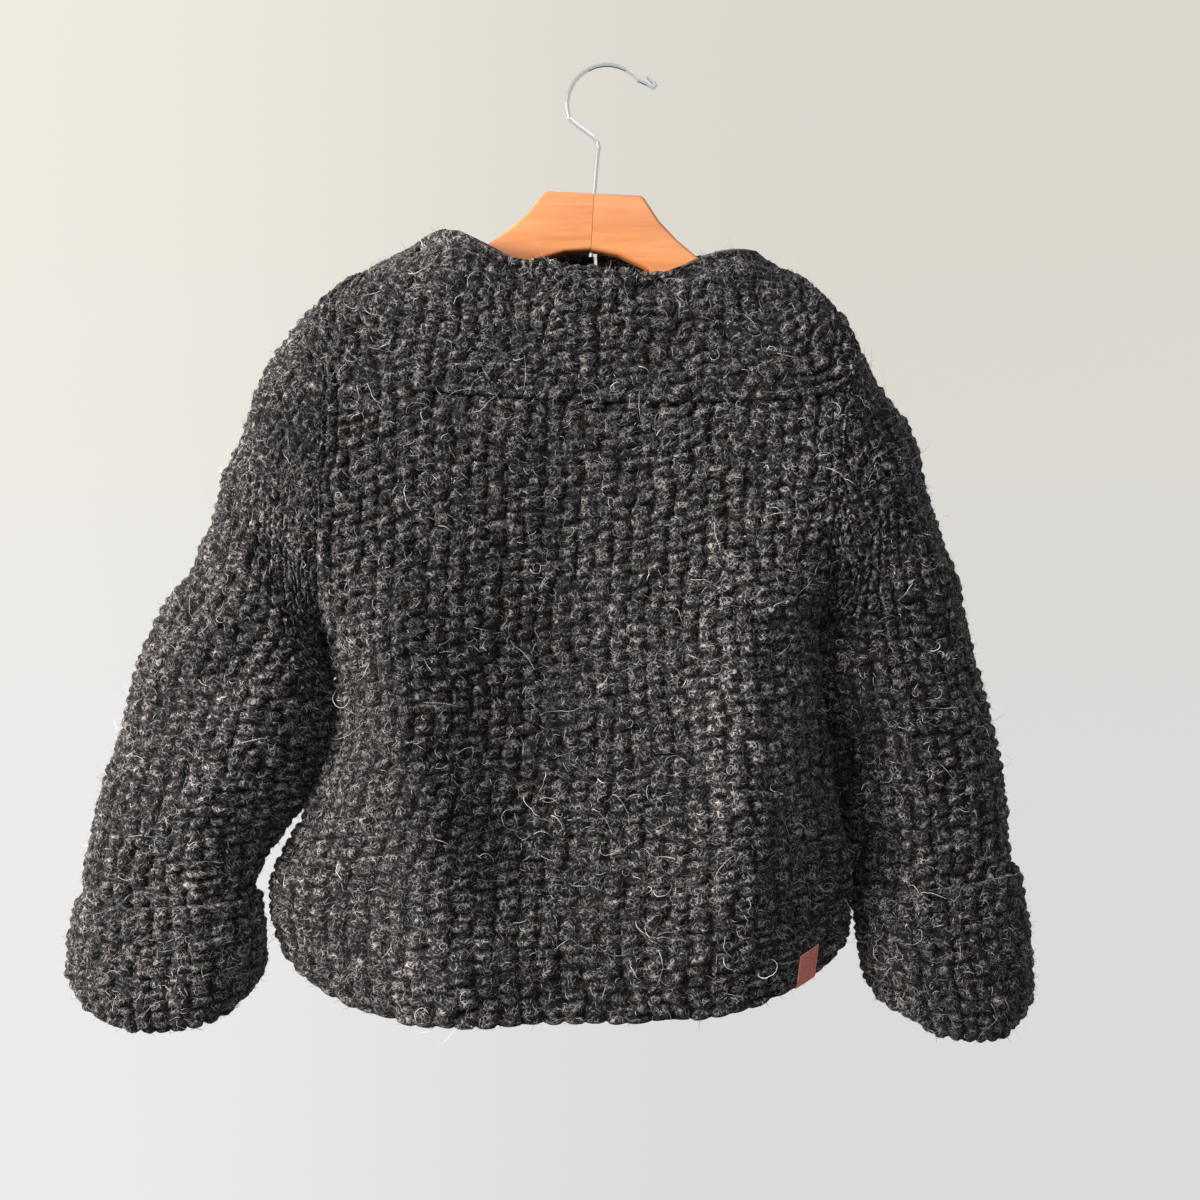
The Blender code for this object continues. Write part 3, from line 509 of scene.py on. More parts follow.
def collar_section(side, w, steps):
    """Face of the collar at one place round the neck: up the stand, over the fold and down the fall."""
    table = COLLAR_BACK if side == "back" else COLLAR_FRONT
    ws = column(table, COLLAR_COLUMNS, "w")
    at = np.interp(w, ws, np.arange(len(ws)))
    _, edge_x, edge_z, fold_z, loft, middle_loft = read_row(table, COLLAR_COLUMNS, at).values()
    u_neck, neck = neck_edge(side, w)
    u_edge = float(share_at(edge_x, TIP))
    on_ridge = abs(w) == 1
    s_edge = TIP
    if not on_ridge:
        stations = np.linspace(ARMPIT, TIP, 300)
        s_edge = np.interp(edge_z, torso(side, np.full(300, u_edge), stations)[:, 2], stations)
    share = np.linspace(0, 1, steps)
    u = u_neck + (u_edge - u_neck) * share
    s = TIP + (s_edge - TIP) * share
    normal = torso_normal(side, u, s, on_ridge)
    edge_loft = EDGE_LOFT + RIDGE_LOFT * w**4
    off = np.interp(share, [0, COLLAR_MIDDLE, 1], [loft, middle_loft, edge_loft]) + LEAF_GAP + WALL
    fall = torso(side, u, s) + normal * off[:, None]

    way = 1 if side == "back" else -1
    inward = np.array([-math.copysign(1.0, w), 0, 0])
    if not on_ridge:
        tangent = neck_edge(side, w + 0.01)[1] - neck_edge(side, w - 0.01)[1]
        inward = np.array([-tangent[1], tangent[0], 0]) * way
        inward = unit(inward)
    foot = neck + inward * (WALL * max(0, -normal[0] @ inward) + LEAF_GAP + WALL)
    across = (foot - fall[0]) @ inward
    radius = max(across / 2, FOLD_RADIUS_LEAST)
    top = np.array([foot[0], foot[1], fold_z - radius])
    bottom = np.array([foot[0], foot[1], neck[2] + STAND_GAP])
    up = np.array([0, 0, 1.0])
    turns = np.radians((30, 60, 90))
    rise = [top + radius * (-inward * (1 - math.cos(a)) + up * math.sin(a)) for a in turns]
    crown, target = rise[-1], fall[0]
    reach = np.linalg.norm(target - crown)
    leave, arrive = -inward * reach, unit(fall[1] - fall[0]) * reach
    over = [blend(crown, leave, target, arrive, t) for t in (0.33, 0.66)]
    return np.array([bottom, (bottom + top) / 2, top] + rise + over + list(fall))


def collar_places():
    """Where the collar's sections lie: side and share round the neck, from one front edge to the other."""
    edges = [FRONT_TOP_X + way * FRONT_GAP / 2 for way in (-1, 1)]
    ends = [math.asin((x - NECK_MIDDLE_X) / NECK_HALF) * 2 / math.pi for x in edges]
    even = np.linspace(-1, 1, COLLAR_SECTIONS)
    bunched = np.sign(even) * (1 - (1 - np.abs(even)) ** COLLAR_BUNCHING)
    inside = bunched[1:-1]
    places = [("front", ends[0])] + [("front", w) for w in inside[inside < ends[0] - 0.04][::-1]]
    places += [("back", w) for w in bunched]
    places += [("front", w) for w in inside[inside > ends[1] + 0.04][::-1]] + [("front", ends[1])]
    return places


def creases(points):
    """Height of the soft creases at some points, which belong to the back where y is negative."""
    height = np.zeros(points.shape[:-1])
    for side, x0, z0, x1, z1, half_width, high in CREASES:
        start, way = np.array([x0, z0]), np.array([x1 - x0, z1 - z0], float)
        rel = points[..., [0, 2]] - start
        along = np.clip(rel @ way / (way @ way), -CREASE_PAST, 1 + CREASE_PAST)
        apart = np.linalg.norm(rel - along[..., None] * way, axis=-1)
        ends = np.exp(-(np.clip(np.abs(along - 0.5) - CREASE_HELD, 0, None) ** 2) / CREASE_FADE)
        on_side = {"back": points[..., 1] < 0, "front": points[..., 1] >= 0}.get(side, True)
        height += np.where(on_side, high * ends * np.exp(-((apart / half_width) ** 2)), 0)
    return height


def soft_noise(shape, cells, seed):
    """Smooth noise from -1 to 1 over a grid, from a few random values."""
    rng = np.random.default_rng(seed)
    values = rng.uniform(-1, 1, (cells[0] + 2, cells[1] + 2))
    r = np.linspace(0, cells[0], shape[0])
    c = np.linspace(0, cells[1], shape[1])
    i, j = np.minimum(r.astype(int), cells[0] - 1), np.minimum(c.astype(int), cells[1] - 1)
    a, b = r - i, c - j
    a, b = (a * a * (3 - 2 * a))[:, None], (b * b * (3 - 2 * b))[None, :]
    top = values[i][:, j] * (1 - b) + values[i][:, j + 1] * b
    low = values[i + 1][:, j] * (1 - b) + values[i + 1][:, j + 1] * b
    return top * (1 - a) + low * a


def true_numbers(grid, closed=True):
    """Rib and row numbers by true distances: ribs from a tube's outer side or a sheet's middle."""
    steps = np.linalg.norm(np.diff(grid, axis=0), axis=-1)
    along = np.vstack([np.cumsum(steps[::-1], 0)[::-1], np.zeros(grid.shape[1])])
    around = np.linalg.norm(np.roll(grid, -1, 1) - grid, axis=-1)
    arc = np.cumsum(around, 1) - around
    if closed:
        total = arc[:, -1:] + around[:, -1:]
        arc = np.where(arc > total / 2, arc - total, arc)
    else:
        arc = arc - arc[:, grid.shape[1] // 2, None]
    return (arc - arc.min()) / STITCH_SIZE[0], along / STITCH_SIZE[1]


def stitch_height(rib, row, seed, wander):
    """Height 0 to 1 of the knit at rib and row numbers: wandering cords with one uneven bump to a row."""
    rng = np.random.default_rng(seed)
    size = (int(row.max()) + 3, int(rib.max()) + 3)
    cells = (size[0] // 2, size[1] // 2)
    strength = rng.uniform(*STRENGTH, size)
    lean, slip, aside = (rng.uniform(-most, most, size) for most in (LEAN, SLIP, ASIDE))
    column_slip = rng.uniform(-COLUMN_SLIP, COLUMN_SLIP, size[1])
    rib = np.maximum(rib + wander * soft_noise(rib.shape, cells, seed + 3), 0)
    row = np.maximum(row + wander * soft_noise(rib.shape, cells, seed + 4), 0)
    i = np.clip(rib.astype(int), 0, size[1] - 1)
    row = row + column_slip[i] + 0.5
    j = np.clip(row.astype(int), 0, size[0] - 1)
    x = 2 * (rib - i) - 1 + aside[j, i]
    y = 2 * (row - j) - 1 + slip[j, i] + lean[j, i] * x
    cord = np.clip(1 - np.abs(x) ** CORD_ROUND, 0, 1) ** CORD_FALL
    bump = 1 - BUMP_DIP * np.clip(np.abs(y), 0, BUMP_REACH) ** BUMP_ROUND
    return strength[j, i] * cord * bump


def wool_areas(points):
    """Painted shade and painted light on the wool at some points, as a factor beside its usual tone of 1."""
    tone = np.ones(len(points))
    for x, z, half_width, half_height, change in AREAS:
        apart = ((points[:, 0] - x) / half_width) ** 2 + ((points[:, 2] - z) / half_height) ** 2
        tone += change * np.exp(-apart)
    return tone


def knit_sheet(
    name, grid, ribs, rows, seed, facing, closed=False, rims=(True, True), plain=None, bound=None,
    wander=WANDER, numbers=None
):
    """A thin knit shell on a grid of points: stitches outside, a plain coarse inside and round rims between.

    facing is a share of the way along the rows and an outward direction there, at a quarter of the columns.
    wander is how far, in stitches, the ribs and rows stray from even lines. numbers holds each point's rib
    and row where they don't follow the grid.
    """
    count_r, count_c = grid.shape[:2]
    cells_c, cells_r = STITCH_CELLS
    normal = face_normals(grid, closed)
    share, outward = facing
    if normal[int(share * (count_r - 1)), count_c // 4] @ np.asarray(outward, float) < 0:
        normal = -normal
    if numbers is None:
        numbers = np.meshgrid(np.arange(count_c) / cells_c, np.arange(count_r) / cells_r)
    height = stitch_height(*numbers, seed, wander)
    hidden = 0 if plain is None else plain(grid) + 0 * height
    height = height * (1 - hidden) + PLAIN_HEIGHT * hidden
    rng = np.random.default_rng(seed + 1)
    uneven = ROUGH * rng.normal(0, 1, grid.shape[:2])
    uneven = uneven + soft_noise(grid.shape[:2], (max(2, int(rows) // 7), max(2, ribs // 5)), seed + 2)
    folds = creases(grid) * (1 - hidden)
    lift = -GROOVE + (PEAK + GROOVE) * height + folds + uneven * (1 - hidden)
    if not closed:
        inset = np.minimum(np.arange(count_c), np.arange(count_c)[::-1]) / cells_c
        lift = np.minimum(lift, EDGE_STEP[0] + EDGE_STEP[1] * inset[None, :])
    for at_end, rimmed in enumerate(rims):
        if not rimmed:
            inset = np.arange(count_r)[:: -1 if at_end else 1] / cells_r
            lift = np.minimum(lift, END_STEP[0] + END_STEP[1] * inset[:, None])
    outer = grid + normal * lift[..., None]
    inner = grid + normal * (folds - WALL)[..., None]
    if bound is not None:
        outer, inner = bound(outer), bound(inner)
    wrapped, shade = [outer], [height]
    for at_start in (False, True):
        edge, after = (0, 1) if at_start else (-1, -2)
        if not rims[0 if at_start else 1]:
            continue
        way = unit(grid[edge] - grid[after])
        across = inner[edge] - outer[edge]
        bulge = RIM_BULGE[0] + RIM_BULGE[1] * height[edge][:, None]
        angles = RIM_ANGLES[::-1] if at_start else RIM_ANGLES
        ring = [outer[edge] + across * (1 - math.cos(a)) / 2 + way * bulge * math.sin(a) for a in angles]
        # painted shade: the rim's inner half takes a darker tone than its outer half
        tone = [height[edge] * (0.8 if math.cos(a) > 0 else 0.5) for a in angles]
        at = 0 if at_start else len(wrapped)
        wrapped.insert(at, np.stack(ring))
        shade.insert(at, np.stack(tone))
    keep_r = np.unique(np.append(np.arange(0, count_r, cells_r), count_r - 1))
    keep_c = np.arange(0, count_c, cells_c)
    if not closed:
        keep_c = np.unique(np.append(keep_c, count_c - 1))
    inner = inner[keep_r][:, keep_c]
    keep_r = keep_r + (len(RIM_ANGLES) if rims[0] else 0)
    return shell_mesh(name, np.concatenate(wrapped), inner, np.concatenate(shade), keep_c, keep_r, closed)


def shell_mesh(name, outer, inner, shade, keep_c, keep_r, closed):
    """One mesh from a fine outer grid and a coarse inner one, joined round their borders."""
    rows, columns = outer.shape[:2]
    in_rows, in_columns = inner.shape[:2]
    points = np.concatenate([outer.reshape(-1, 3), inner.reshape(-1, 3)]) * MM
    base = rows * columns
    inside = base + grid_faces(in_rows, in_columns, closed)[:, [0, 3, 2, 1]]
    faces = grid_faces(rows, columns, closed).tolist() + inside.tolist()
    for row_out, row_in, flip in ((0, 0, True), (rows - 1, in_rows - 1, False)):
        first = base + row_in * in_columns
        for k in range(in_columns if closed else in_columns - 1):
            stop = keep_c[k + 1] if k + 1 < in_columns else columns
            run = [row_out * columns + q % columns for q in range(keep_c[k], stop + 1)]
            run += [first + (k + 1) % in_columns, first + k]
            faces.append(run[::-1] if flip else run)
    sides = () if closed else ((0, 0, False), (columns - 1, in_columns - 1, True))
    for col_out, col_in, flip in sides:
        for k in range(in_rows - 1):
            start = 0 if k == 0 else keep_r[k]
            stop = rows - 1 if k == in_rows - 2 else keep_r[k + 1]
            run = [q * columns + col_out for q in range(start, stop + 1)]
            run += [base + (k + 1) * in_columns + col_in, base + k * in_columns + col_in]
            faces.append(run[::-1] if flip else run)
    mesh = bpy.data.meshes.new(name)
    mesh.from_pydata(points.tolist(), [], faces)
    mesh.update()
    # stitch heights that set the wool's painted groove shade, the plain inside taking a middle value
    knit = np.concatenate([shade.ravel(), np.full(in_rows * in_columns, 0.45)])
    # the area attribute carries the painted shade and painted light into the wool's colour
    for kind, values in (("area", wool_areas(points / MM)), ("knit", knit)):
        mesh.attributes.new(kind, "FLOAT", "POINT").data.foreach_set("value", values)
    mesh.shade_smooth()
    work = bmesh.new()
    work.from_mesh(mesh)
    bmesh.ops.recalc_face_normals(work, faces=work.faces)
    work.to_mesh(mesh)
    work.free()
    return placed(name, mesh)


def refine(rows, count, at_row=None):
    """A smooth surface through rows of points, read at equal distances along its middle column."""
    dense = np.linspace(0, len(rows) - 1, 1500)
    column_at = rows.shape[1] // 2 if at_row is None else at_row
    path = np.stack([smooth(rows[:, column_at, k], dense) for k in range(3)], -1)
    at = even_steps(path, dense, count)
    i = np.minimum(at.astype(int), len(rows) - 2)
    slope = np.gradient(rows, axis=0)
    return blend(rows[i], slope[i], rows[i + 1], slope[i + 1], (at - i)[:, None, None])


def calm(points):
    """1 where a panel is covered by the collar or the tag and stays plain, 0 where its stitches show."""
    x, y, z = points[..., 0], points[..., 1], points[..., 2]
    covered = np.zeros(points.shape[:-1])
    for table, on_side in ((COLLAR_BACK, y < 0), (COLLAR_FRONT, y >= 0)):
        edge_x, edge_z = column(table, COLLAR_COLUMNS, "edge_x"), column(table, COLLAR_COLUMNS, "edge_z")
        order = np.argsort(edge_x)
        line = np.interp(x, edge_x[order], edge_z[order], left=0, right=0)
        covered = np.where(on_side, np.clip((z - line - COVER_GAP) / COVER_FADE, 0, 1), covered)
    tag_x, tag_z, half_width, half_height = TAG_BOX
    by_tag = np.maximum(np.abs(x - tag_x) / half_width, np.abs(z - tag_z) / half_height)
    return np.where(y < 0, np.maximum(covered, np.clip((TAG_MARGIN - by_tag) * TAG_FADE, 0, 1)), covered)


def even_shares(count, side):
    """Shares of the torso's width at equal distances along its face."""
    dense = np.linspace(-1, 1, 1200)
    return even_steps(torso(side, dense, MID_TORSO), dense, count)


def body_panel(name, side, meets, seed):
    """The back, or a front that ends at the line where the fronts meet."""
    cells_c, cells_r = STITCH_CELLS
    shares = even_shares(BODY_RIBS * cells_c + 1, side)
    ribs = BODY_RIBS
    if meets:
        ribs = FRONT_RIBS
        shares = shares[: ribs * cells_c + 1] if meets < 0 else shares[-ribs * cells_c - 1 :]
    dense = np.linspace(0, COVERED_FROM, 400)
    middle = torso(side, np.full(400, shares[len(shares) // 2]), dense)
    stations = even_steps(middle, dense, BODY_ROWS * cells_r + 1)
    stations = np.concatenate([stations, np.linspace(COVERED_FROM, TIP, COVERED_ROWS)[1:]])
    s = stations[:, None] + 0 * shares[None, :]
    u = shares[None, :] + 0 * s
    if meets:
        edge = share_at(front_line(stations) + meets * FRONT_GAP / 2, stations)[:, None]
        fixed = -1 if meets < 0 else 1
        last = shares[-1] if meets < 0 else shares[0]
        u = fixed + (u - fixed) * (edge - fixed) / (last - fixed)
    lowered = s - neck_trim(u) * np.clip((s - ROLL) / (TIP - ROLL), 0, 1)
    grid = torso(side, u, lowered)
    sign = -1 if side == "back" else 1

    def bound(points):
        points[..., 1] = sign * np.maximum(sign * points[..., 1], SEAM / 2)
        return points

    facing = (0.3, (0, sign, 0))
    return knit_sheet(
        name, bound(grid), ribs, BODY_ROWS + 2, seed, facing, rims=(True, False), plain=calm, bound=bound
    )


def outer_to_inner(angle):
    """How far a place round a sleeve is from its outer side to its inner one, as a share."""
    across = np.cos(angle)
    return (1 - np.sign(across) * np.abs(across) ** (2 / SECTION_POWER)) / 2


def ring_angles(table, count):
    """Angles round a sleeve at equal distances, and how far each is from its outer to its inner side."""
    dense = np.linspace(0, 2 * math.pi, 2401)
    along = path_lengths(sleeve(table, dense, outer_to_inner(dense), MID_SLEEVE))
    angle = np.interp(np.arange(count) / count * along[-1], along, dense)
    return angle, outer_to_inner(angle)


def sleeve_outward(table, angle, across, s, step=0.02):
    """Outward normals of a sleeve's face at a station."""
    around = sleeve(table, angle, across, s)
    along = sleeve(table, angle, across, s + step) - sleeve(table, angle, across, s - step)
    normal = unit(np.cross(np.roll(around, -1, 0) - np.roll(around, 1, 0), along))
    return normal * np.sign(np.sum(normal * (around - around.mean(0))))


def sleeve_piece(side_of, table, seed):
    """A sleeve, plain where the cuff covers it."""
    cells_c, cells_r = STITCH_CELLS
    angle, across = ring_angles(table, SLEEVE_RIBS * cells_c)
    stations = np.linspace(0, WRIST, 500)
    middle = np.array([sleeve(table, angle, across, s).mean(0) for s in stations])
    stations = even_steps(middle, stations, SLEEVE_ROWS * cells_r + 1)
    grid = np.stack([sleeve(table, angle, across, s) for s in stations])
    facing = (0.5, sleeve_outward(table, angle, across, MID_SLEEVE)[len(angle) // 4])
    cuffed = np.clip((stations - CUFF_COVERS) / CUFF_FADE, 0, 1)[:, None]
    return knit_sheet(
        side_of + "_sleeve_knit", grid, SLEEVE_RIBS, SLEEVE_ROWS, seed, facing, closed=True,
        rims=(False, False), plain=lambda p: np.maximum(calm(p), cuffed), numbers=true_numbers(grid)
    )


def cuff_piece(side_of, table, seed):
    """A cuff, from the seam inside the sleeve's end round the fold and back up over the sleeve."""
    cells_c, cells_r = STITCH_CELLS
    angle, across = ring_angles(table, CUFF_RIBS * cells_c)
    stations, offsets = (column(CUFF, CUFF_COLUMNS, name) for name in CUFF_COLUMNS.split())
    places = np.minimum(stations, CUFF_FOLD)
    path = np.stack([sleeve(table, angle, across, s) for s in places])
    way = np.stack([sleeve_outward(table, angle, across, min(s, CUFF_FOLD - 0.02)) for s in places])
    path = path + way * offsets[:, None, None]
    path[..., 2] -= (np.maximum(stations - CUFF_FOLD, 0) * CUFF_DROP)[:, None]
    grid = refine(path, CUFF_ROWS * cells_r + 1)
    facing = (0.7, way[6, len(angle) // 4])
    return knit_sheet(
        side_of + "_cuff_knit", grid, CUFF_RIBS, CUFF_ROWS, seed, facing, closed=True, rims=(False, True)
    )


def collar_piece(seed):
    """The collar: columns fan out from the neck and rows run along its edge."""
    cells_c, cells_r = STITCH_CELLS
    coarse = np.stack([collar_section(side, w, 6) for side, w in collar_places()], 1)
    across = refine(coarse.transpose(1, 0, 2), COLLAR_RIBS * cells_c + 1, at_row=11)
    grid = refine(across.transpose(1, 0, 2), COLLAR_ROWS * cells_r + 1)
    numbers = true_numbers(grid, closed=False)
    near_edge = np.clip(1 - numbers[1] / TAPER_ROWS, 0, 1)[..., None]
    normal = face_normals(grid, False)
    normal *= np.sign(normal[-1, grid.shape[1] // 2, 1]) * -1
    grid = grid - normal * COLLAR_TAPER * near_edge**2 * (3 - 2 * near_edge)
    facing = (0.9, (0, -1, 0.2))
    return knit_sheet(
        "collar_knit", grid, COLLAR_RIBS, COLLAR_ROWS, seed, facing, wander=COLLAR_WANDER, numbers=numbers
    )


def hairs(name, sources, count, seed, material, length, width, segments, curl, lift):
    """Loose fibres on knit faces, as thin ribbons that curl away from random places of them."""
    rng = np.random.default_rng(seed)
    spots = []
    for piece in sources:
        mesh = piece.data
        total = len(mesh.polygons)
        area, sides = np.empty(total), np.empty(total, np.int32)
        centre, facing = np.empty(total * 3), np.empty(total * 3)
        read = {"area": area, "center": centre, "normal": facing, "loop_total": sides}
        for kind, values in read.items():
            mesh.polygons.foreach_get(kind, values)
        tone = np.empty(len(mesh.vertices))
        mesh.attributes["knit"].data.foreach_get("value", tone)
        first = np.array([p.vertices[0] for p in mesh.polygons])
        area[(sides != 4) | (area > LARGEST_HAIRY_FACE)] = 0
        area *= GROOVE_HAIRS + tone[first]
        spots.append((area, centre.reshape(-1, 3), facing.reshape(-1, 3)))
    area, centre, facing = (np.concatenate(values) for values in zip(*spots))
    chosen = rng.choice(len(area), count, p=area / area.sum())
    at, up = centre[chosen], facing[chosen]
    turn = rng.normal(0, 1, (count, 3))
    flat = unit(turn - up * np.sum(turn * up, 1, keepdims=True))
    rise = rng.uniform(*lift, (count, 1))
    way = flat * np.cos(rise) + up * np.sin(rise)
    long = rng.uniform(0, 1, (count, 1)) ** HAIR_SHORTNESS * (length[1] - length[0]) + length[0]
    step = long / segments
    bend = rng.normal(0, curl, (count, 1)) / segments
    point = at + up * HAIR_START
    path, across = [point], []
    for _ in range(segments):
        axis = unit(up + HAIR_TILT * rng.normal(0, 1, (count, 3)))
        angle = bend + rng.normal(0, HAIR_WOBBLE, (count, 1))
        way = way * np.cos(angle) + np.cross(axis, way) * np.sin(angle)
        way -= up * HAIR_SETTLE * np.sum(way * up, 1, keepdims=True)
        way = unit(way)
        across.append(unit(np.cross(way, up + HAIR_TWIST * turn), 1e-6))
        point = point + way * step
        high = np.sum((point - at) * up, 1, keepdims=True)
        path.append(point + up * (HAIR_REACH * np.tanh(high / HAIR_REACH) - high))
    across.append(across[-1])
    thick = rng.uniform(*width, (count, 1)) / 2
    rows = []
    for k, (p, a) in enumerate(zip(path, across)):
        taper = 1 - HAIR_TAPER * (k / segments) ** 2
        rows += [p - a * thick * taper, p + a * thick * taper]
    points = np.stack(rows, 1)
    points[..., 1] = np.clip(points[..., 1], *HAIR_DEPTHS)
    base = (np.arange(count) * 2 * (segments + 1))[:, None, None]
    k = np.arange(segments)[None, :, None] * 2
    quads = (base + k + np.array([0, 1, 3, 2])[None, None, :]).reshape(-1, 4)
    mesh = bpy.data.meshes.new(name)
    mesh.from_pydata(points.reshape(-1, 3).tolist(), [], quads.tolist())
    mesh.shade_smooth()
    mesh.materials.append(material)
    return placed(name, mesh)


def hanger_point(x, z):
    """A point of the untilted hanger in the jacket's frame."""
    c, s = math.cos(HANGER_TILT), math.sin(HANGER_TILT)
    return HANGER_AT[0] + x * c + z * s, HANGER_AT[1] - x * s + z * c


def hanger_arm(name, way):
    """One wooden arm, bored for the wire and finely rounded except where it meets the other arm."""
    work = bmesh.new()
    half = HANGER_THICKNESS / 2
    outline = [(JOINT_X, 0)] + ARM_TOP + ARM_BOTTOM + [(JOINT_X, ARCH_TOP_Z)]
    sides = []
    for y in (-half, half):
        flat = [hanger_point(way * x, z) for x, z in outline]
        sides.append([work.verts.new(Vector((x, y, z)) * MM) for x, z in flat])
    near, far = sides
    joint = {near[0], near[-1], far[0], far[-1]}
    work.faces.new(near)
    work.faces.new(far[::-1])
    for k in range(len(outline)):
        n = (k + 1) % len(outline)
        work.faces.new((near[n], near[k], far[k], far[n]))
    bmesh.ops.recalc_face_normals(work, faces=work.faces)
    edges = [e for e in work.edges if e.calc_face_angle() > math.radians(60) and not set(e.verts) <= joint]
    bmesh.ops.bevel(work, geom=edges, offset=WOOD_EDGE * MM, segments=5, profile=0.5, affect="EDGES")
    mesh = bpy.data.meshes.new(name)
    work.to_mesh(mesh)
    work.free()
    mesh.shade_smooth()
    mesh.set_sharp_from_angle(angle=math.radians(40))
    arm = placed(name, mesh)
    low, high = (Vector((x, 0, z)) * MM for x, z in (hanger_point(0, end) for end in BORE_ENDS))
    bpy.ops.mesh.primitive_cylinder_add(vertices=24, radius=BORE_RADIUS * MM, depth=(high - low).length)
    bore = bpy.context.object
    bore.location = (low + high) / 2
    bore.rotation_euler = (high - low).to_track_quat("Z", "Y").to_euler()
    cut = arm.modifiers.new("bore", "BOOLEAN")
    cut.operation, cut.solver, cut.object = "DIFFERENCE", "EXACT", bore
    graph = bpy.context.evaluated_depsgraph_get()
    arm.data = bpy.data.meshes.new_from_object(arm.evaluated_get(graph))
    arm.modifiers.clear()
    bpy.data.objects.remove(bore)
    return arm


def nodes_of(name):
    """A new material, a helper that adds a node and gives one of its outputs, and one that sets inputs."""
    made = bpy.data.materials.new(name)
    made.use_nodes = True
    tree = made.node_tree

    def fill(values, node):
        for key, value in values.items():
            if isinstance(value, bpy.types.NodeSocket):
                tree.links.new(value, node.inputs[key])
            else:
                node.inputs[key].default_value = value

    def add(kind, values=None, out=0, **settings):
        node = tree.nodes.new("ShaderNode" + kind)
        for key, value in settings.items():
            setattr(node, key, value)
        fill(values or {}, node)
        return node.outputs[out]

    def finish(values, node="Principled BSDF"):
        fill(values, tree.nodes[node])
        return made

    return add, finish


def ranged(add, value, low, high, start=0.0, end=1.0):
    """A value that runs from start to end while another runs from low to high."""
    limits = {"From Min": low, "From Max": high, "To Min": start, "To Max": end}
    return add("MapRange", {"Value": value, **limits})


def noise(add, place, scale, detail=0.0, out="Fac", **more):
    """Soft noise at a place."""
    return add("TexNoise", {"Vector": place, "Scale": scale, "Detail": detail, **more}, out)


def wool_material(name, ground, fibre, strength):
    """Charcoal melange: a dark ground under several layers of fine light curly fibres, with painted shade in
    its grooves and painted shade and painted light over its folds.
    """
    add, finish = nodes_of(name)

    def times(*factors):
        product = factors[0]
        for factor in factors[1:]:
            product = add("Math", {0: product, 1: factor}, operation="MULTIPLY")
        return product

    place = add("TexCoord", out="Object")
    shift = noise(add, place, 170.0, 1.0, "Color")
    shift = add("VectorMath", {0: shift, 1: (0.5, 0.5, 0.5)}, operation="SUBTRACT")
    shift = add("VectorMath", {0: shift, "Scale": FIBRE_CURL}, operation="SCALE")
    warped = add("VectorMath", {0: place, 1: shift}, operation="ADD")
    together = None
    for scale, offset, width, keep in FIBRE_LAYERS:
        moved = add("VectorMath", {0: warped, 1: (offset, 2 * offset, -offset)}, operation="ADD")
        away = add("Math", {0: noise(add, moved, scale), 1: 0.5}, operation="SUBTRACT")
        away = add("Math", {0: away}, operation="ABSOLUTE")
        gate = noise(add, moved, scale * 0.8, 1.0)
        layer = times(ranged(add, away, width, width * 0.2), ranged(add, gate, keep, keep + 0.12))
        if together is not None:
            layer = add("Math", {0: together, 1: layer}, operation="MAXIMUM")
        together = layer
    # painted shade: the colour darkens toward the knit's grooves and the rims' inner sides, by the stitch
    # height in the knit attribute
    depth = ranged(add, add("Attribute", out="Fac", attribute_name="knit"), 0.05, 0.75, 0.14, 1.1)
    mottle = ranged(add, noise(add, place, 420.0, 3.0, Roughness=0.7), 0.3, 0.72, 0.35, 1.9)
    patch = ranged(add, noise(add, place, 26.0, 2.0), 0.3, 0.7, 0.8, 1.2)
    # painted shade and painted light of the folds, read from the area attribute
    area = add("Attribute", out="Fac", attribute_name="area")
    colours = {"Factor": times(together, strength), "A": (*ground, 1), "B": (*fibre, 1)}
    mixed = add("Mix", colours, "Result", data_type="RGBA")
    tone = times(mottle, depth, patch, area)
    relief = add("Math", {0: together, 1: times(mottle, 0.3)}, operation="ADD")
    return finish({
        "Base Color": add("VectorMath", {0: mixed, "Scale": tone}, operation="SCALE"),
        "Normal": add("Bump", {"Height": relief, "Strength": 0.55, "Distance": 0.0006}),
        "Roughness": 0.95,
        "Specular IOR Level": 0.12,
        "Sheen Weight": 0.12,
        "Sheen Roughness": 0.5,
    })


def hair_material(name, colour):
    """Loose fibres: pale, slightly shiny and of uneven tone."""
    add, finish = nodes_of(name)
    mottle = ranged(add, noise(add, add("TexCoord", out="Object"), 90.0), 0.3, 0.7, 0.45, 1.5)
    colour = add("VectorMath", {0: colour, "Scale": mottle}, operation="SCALE")
    return finish({"Base Color": colour, "Roughness": 0.6, "Specular IOR Level": 0.3})


def grained_material(name, dark, light, stops, grain, relief, looks, turn=None):
    """A grain of two tones with a slight relief, turned and stretched if turn is given."""
    add, finish = nodes_of(name)
    place = add("TexCoord", out="Object")
    if turn:
        place = add("Mapping", {"Vector": place, **turn})
    height = noise(add, place, **grain)
    tones = {"Factor": ranged(add, height, *stops), "A": (*dark, 1), "B": (*light, 1)}
    tone = add("Mix", tones, "Result", data_type="RGBA")
    bump = add("Bump", {"Height": height, "Strength": relief[0], "Distance": relief[1]})
    return finish({"Base Color": tone, "Normal": bump, **looks})


def wood_material(name, tilt):
    """Orange-tan lacquered wood with its grain at an angle to the arm."""
    grain = {"scale": 1.0, "detail": 5.0, "Roughness": 0.62, "Distortion": 0.6}
    looks = {"Roughness": 0.38, "Coat Weight": 0.25, "Coat Roughness": 0.25}
    turn = {"Rotation": (0, tilt, 0), "Scale": (9, 60, 120)}
    return grained_material(name, WOOD_DARK, WOOD_LIGHT, (0.32, 0.68), grain, (0.12, 0.0005), looks, turn)


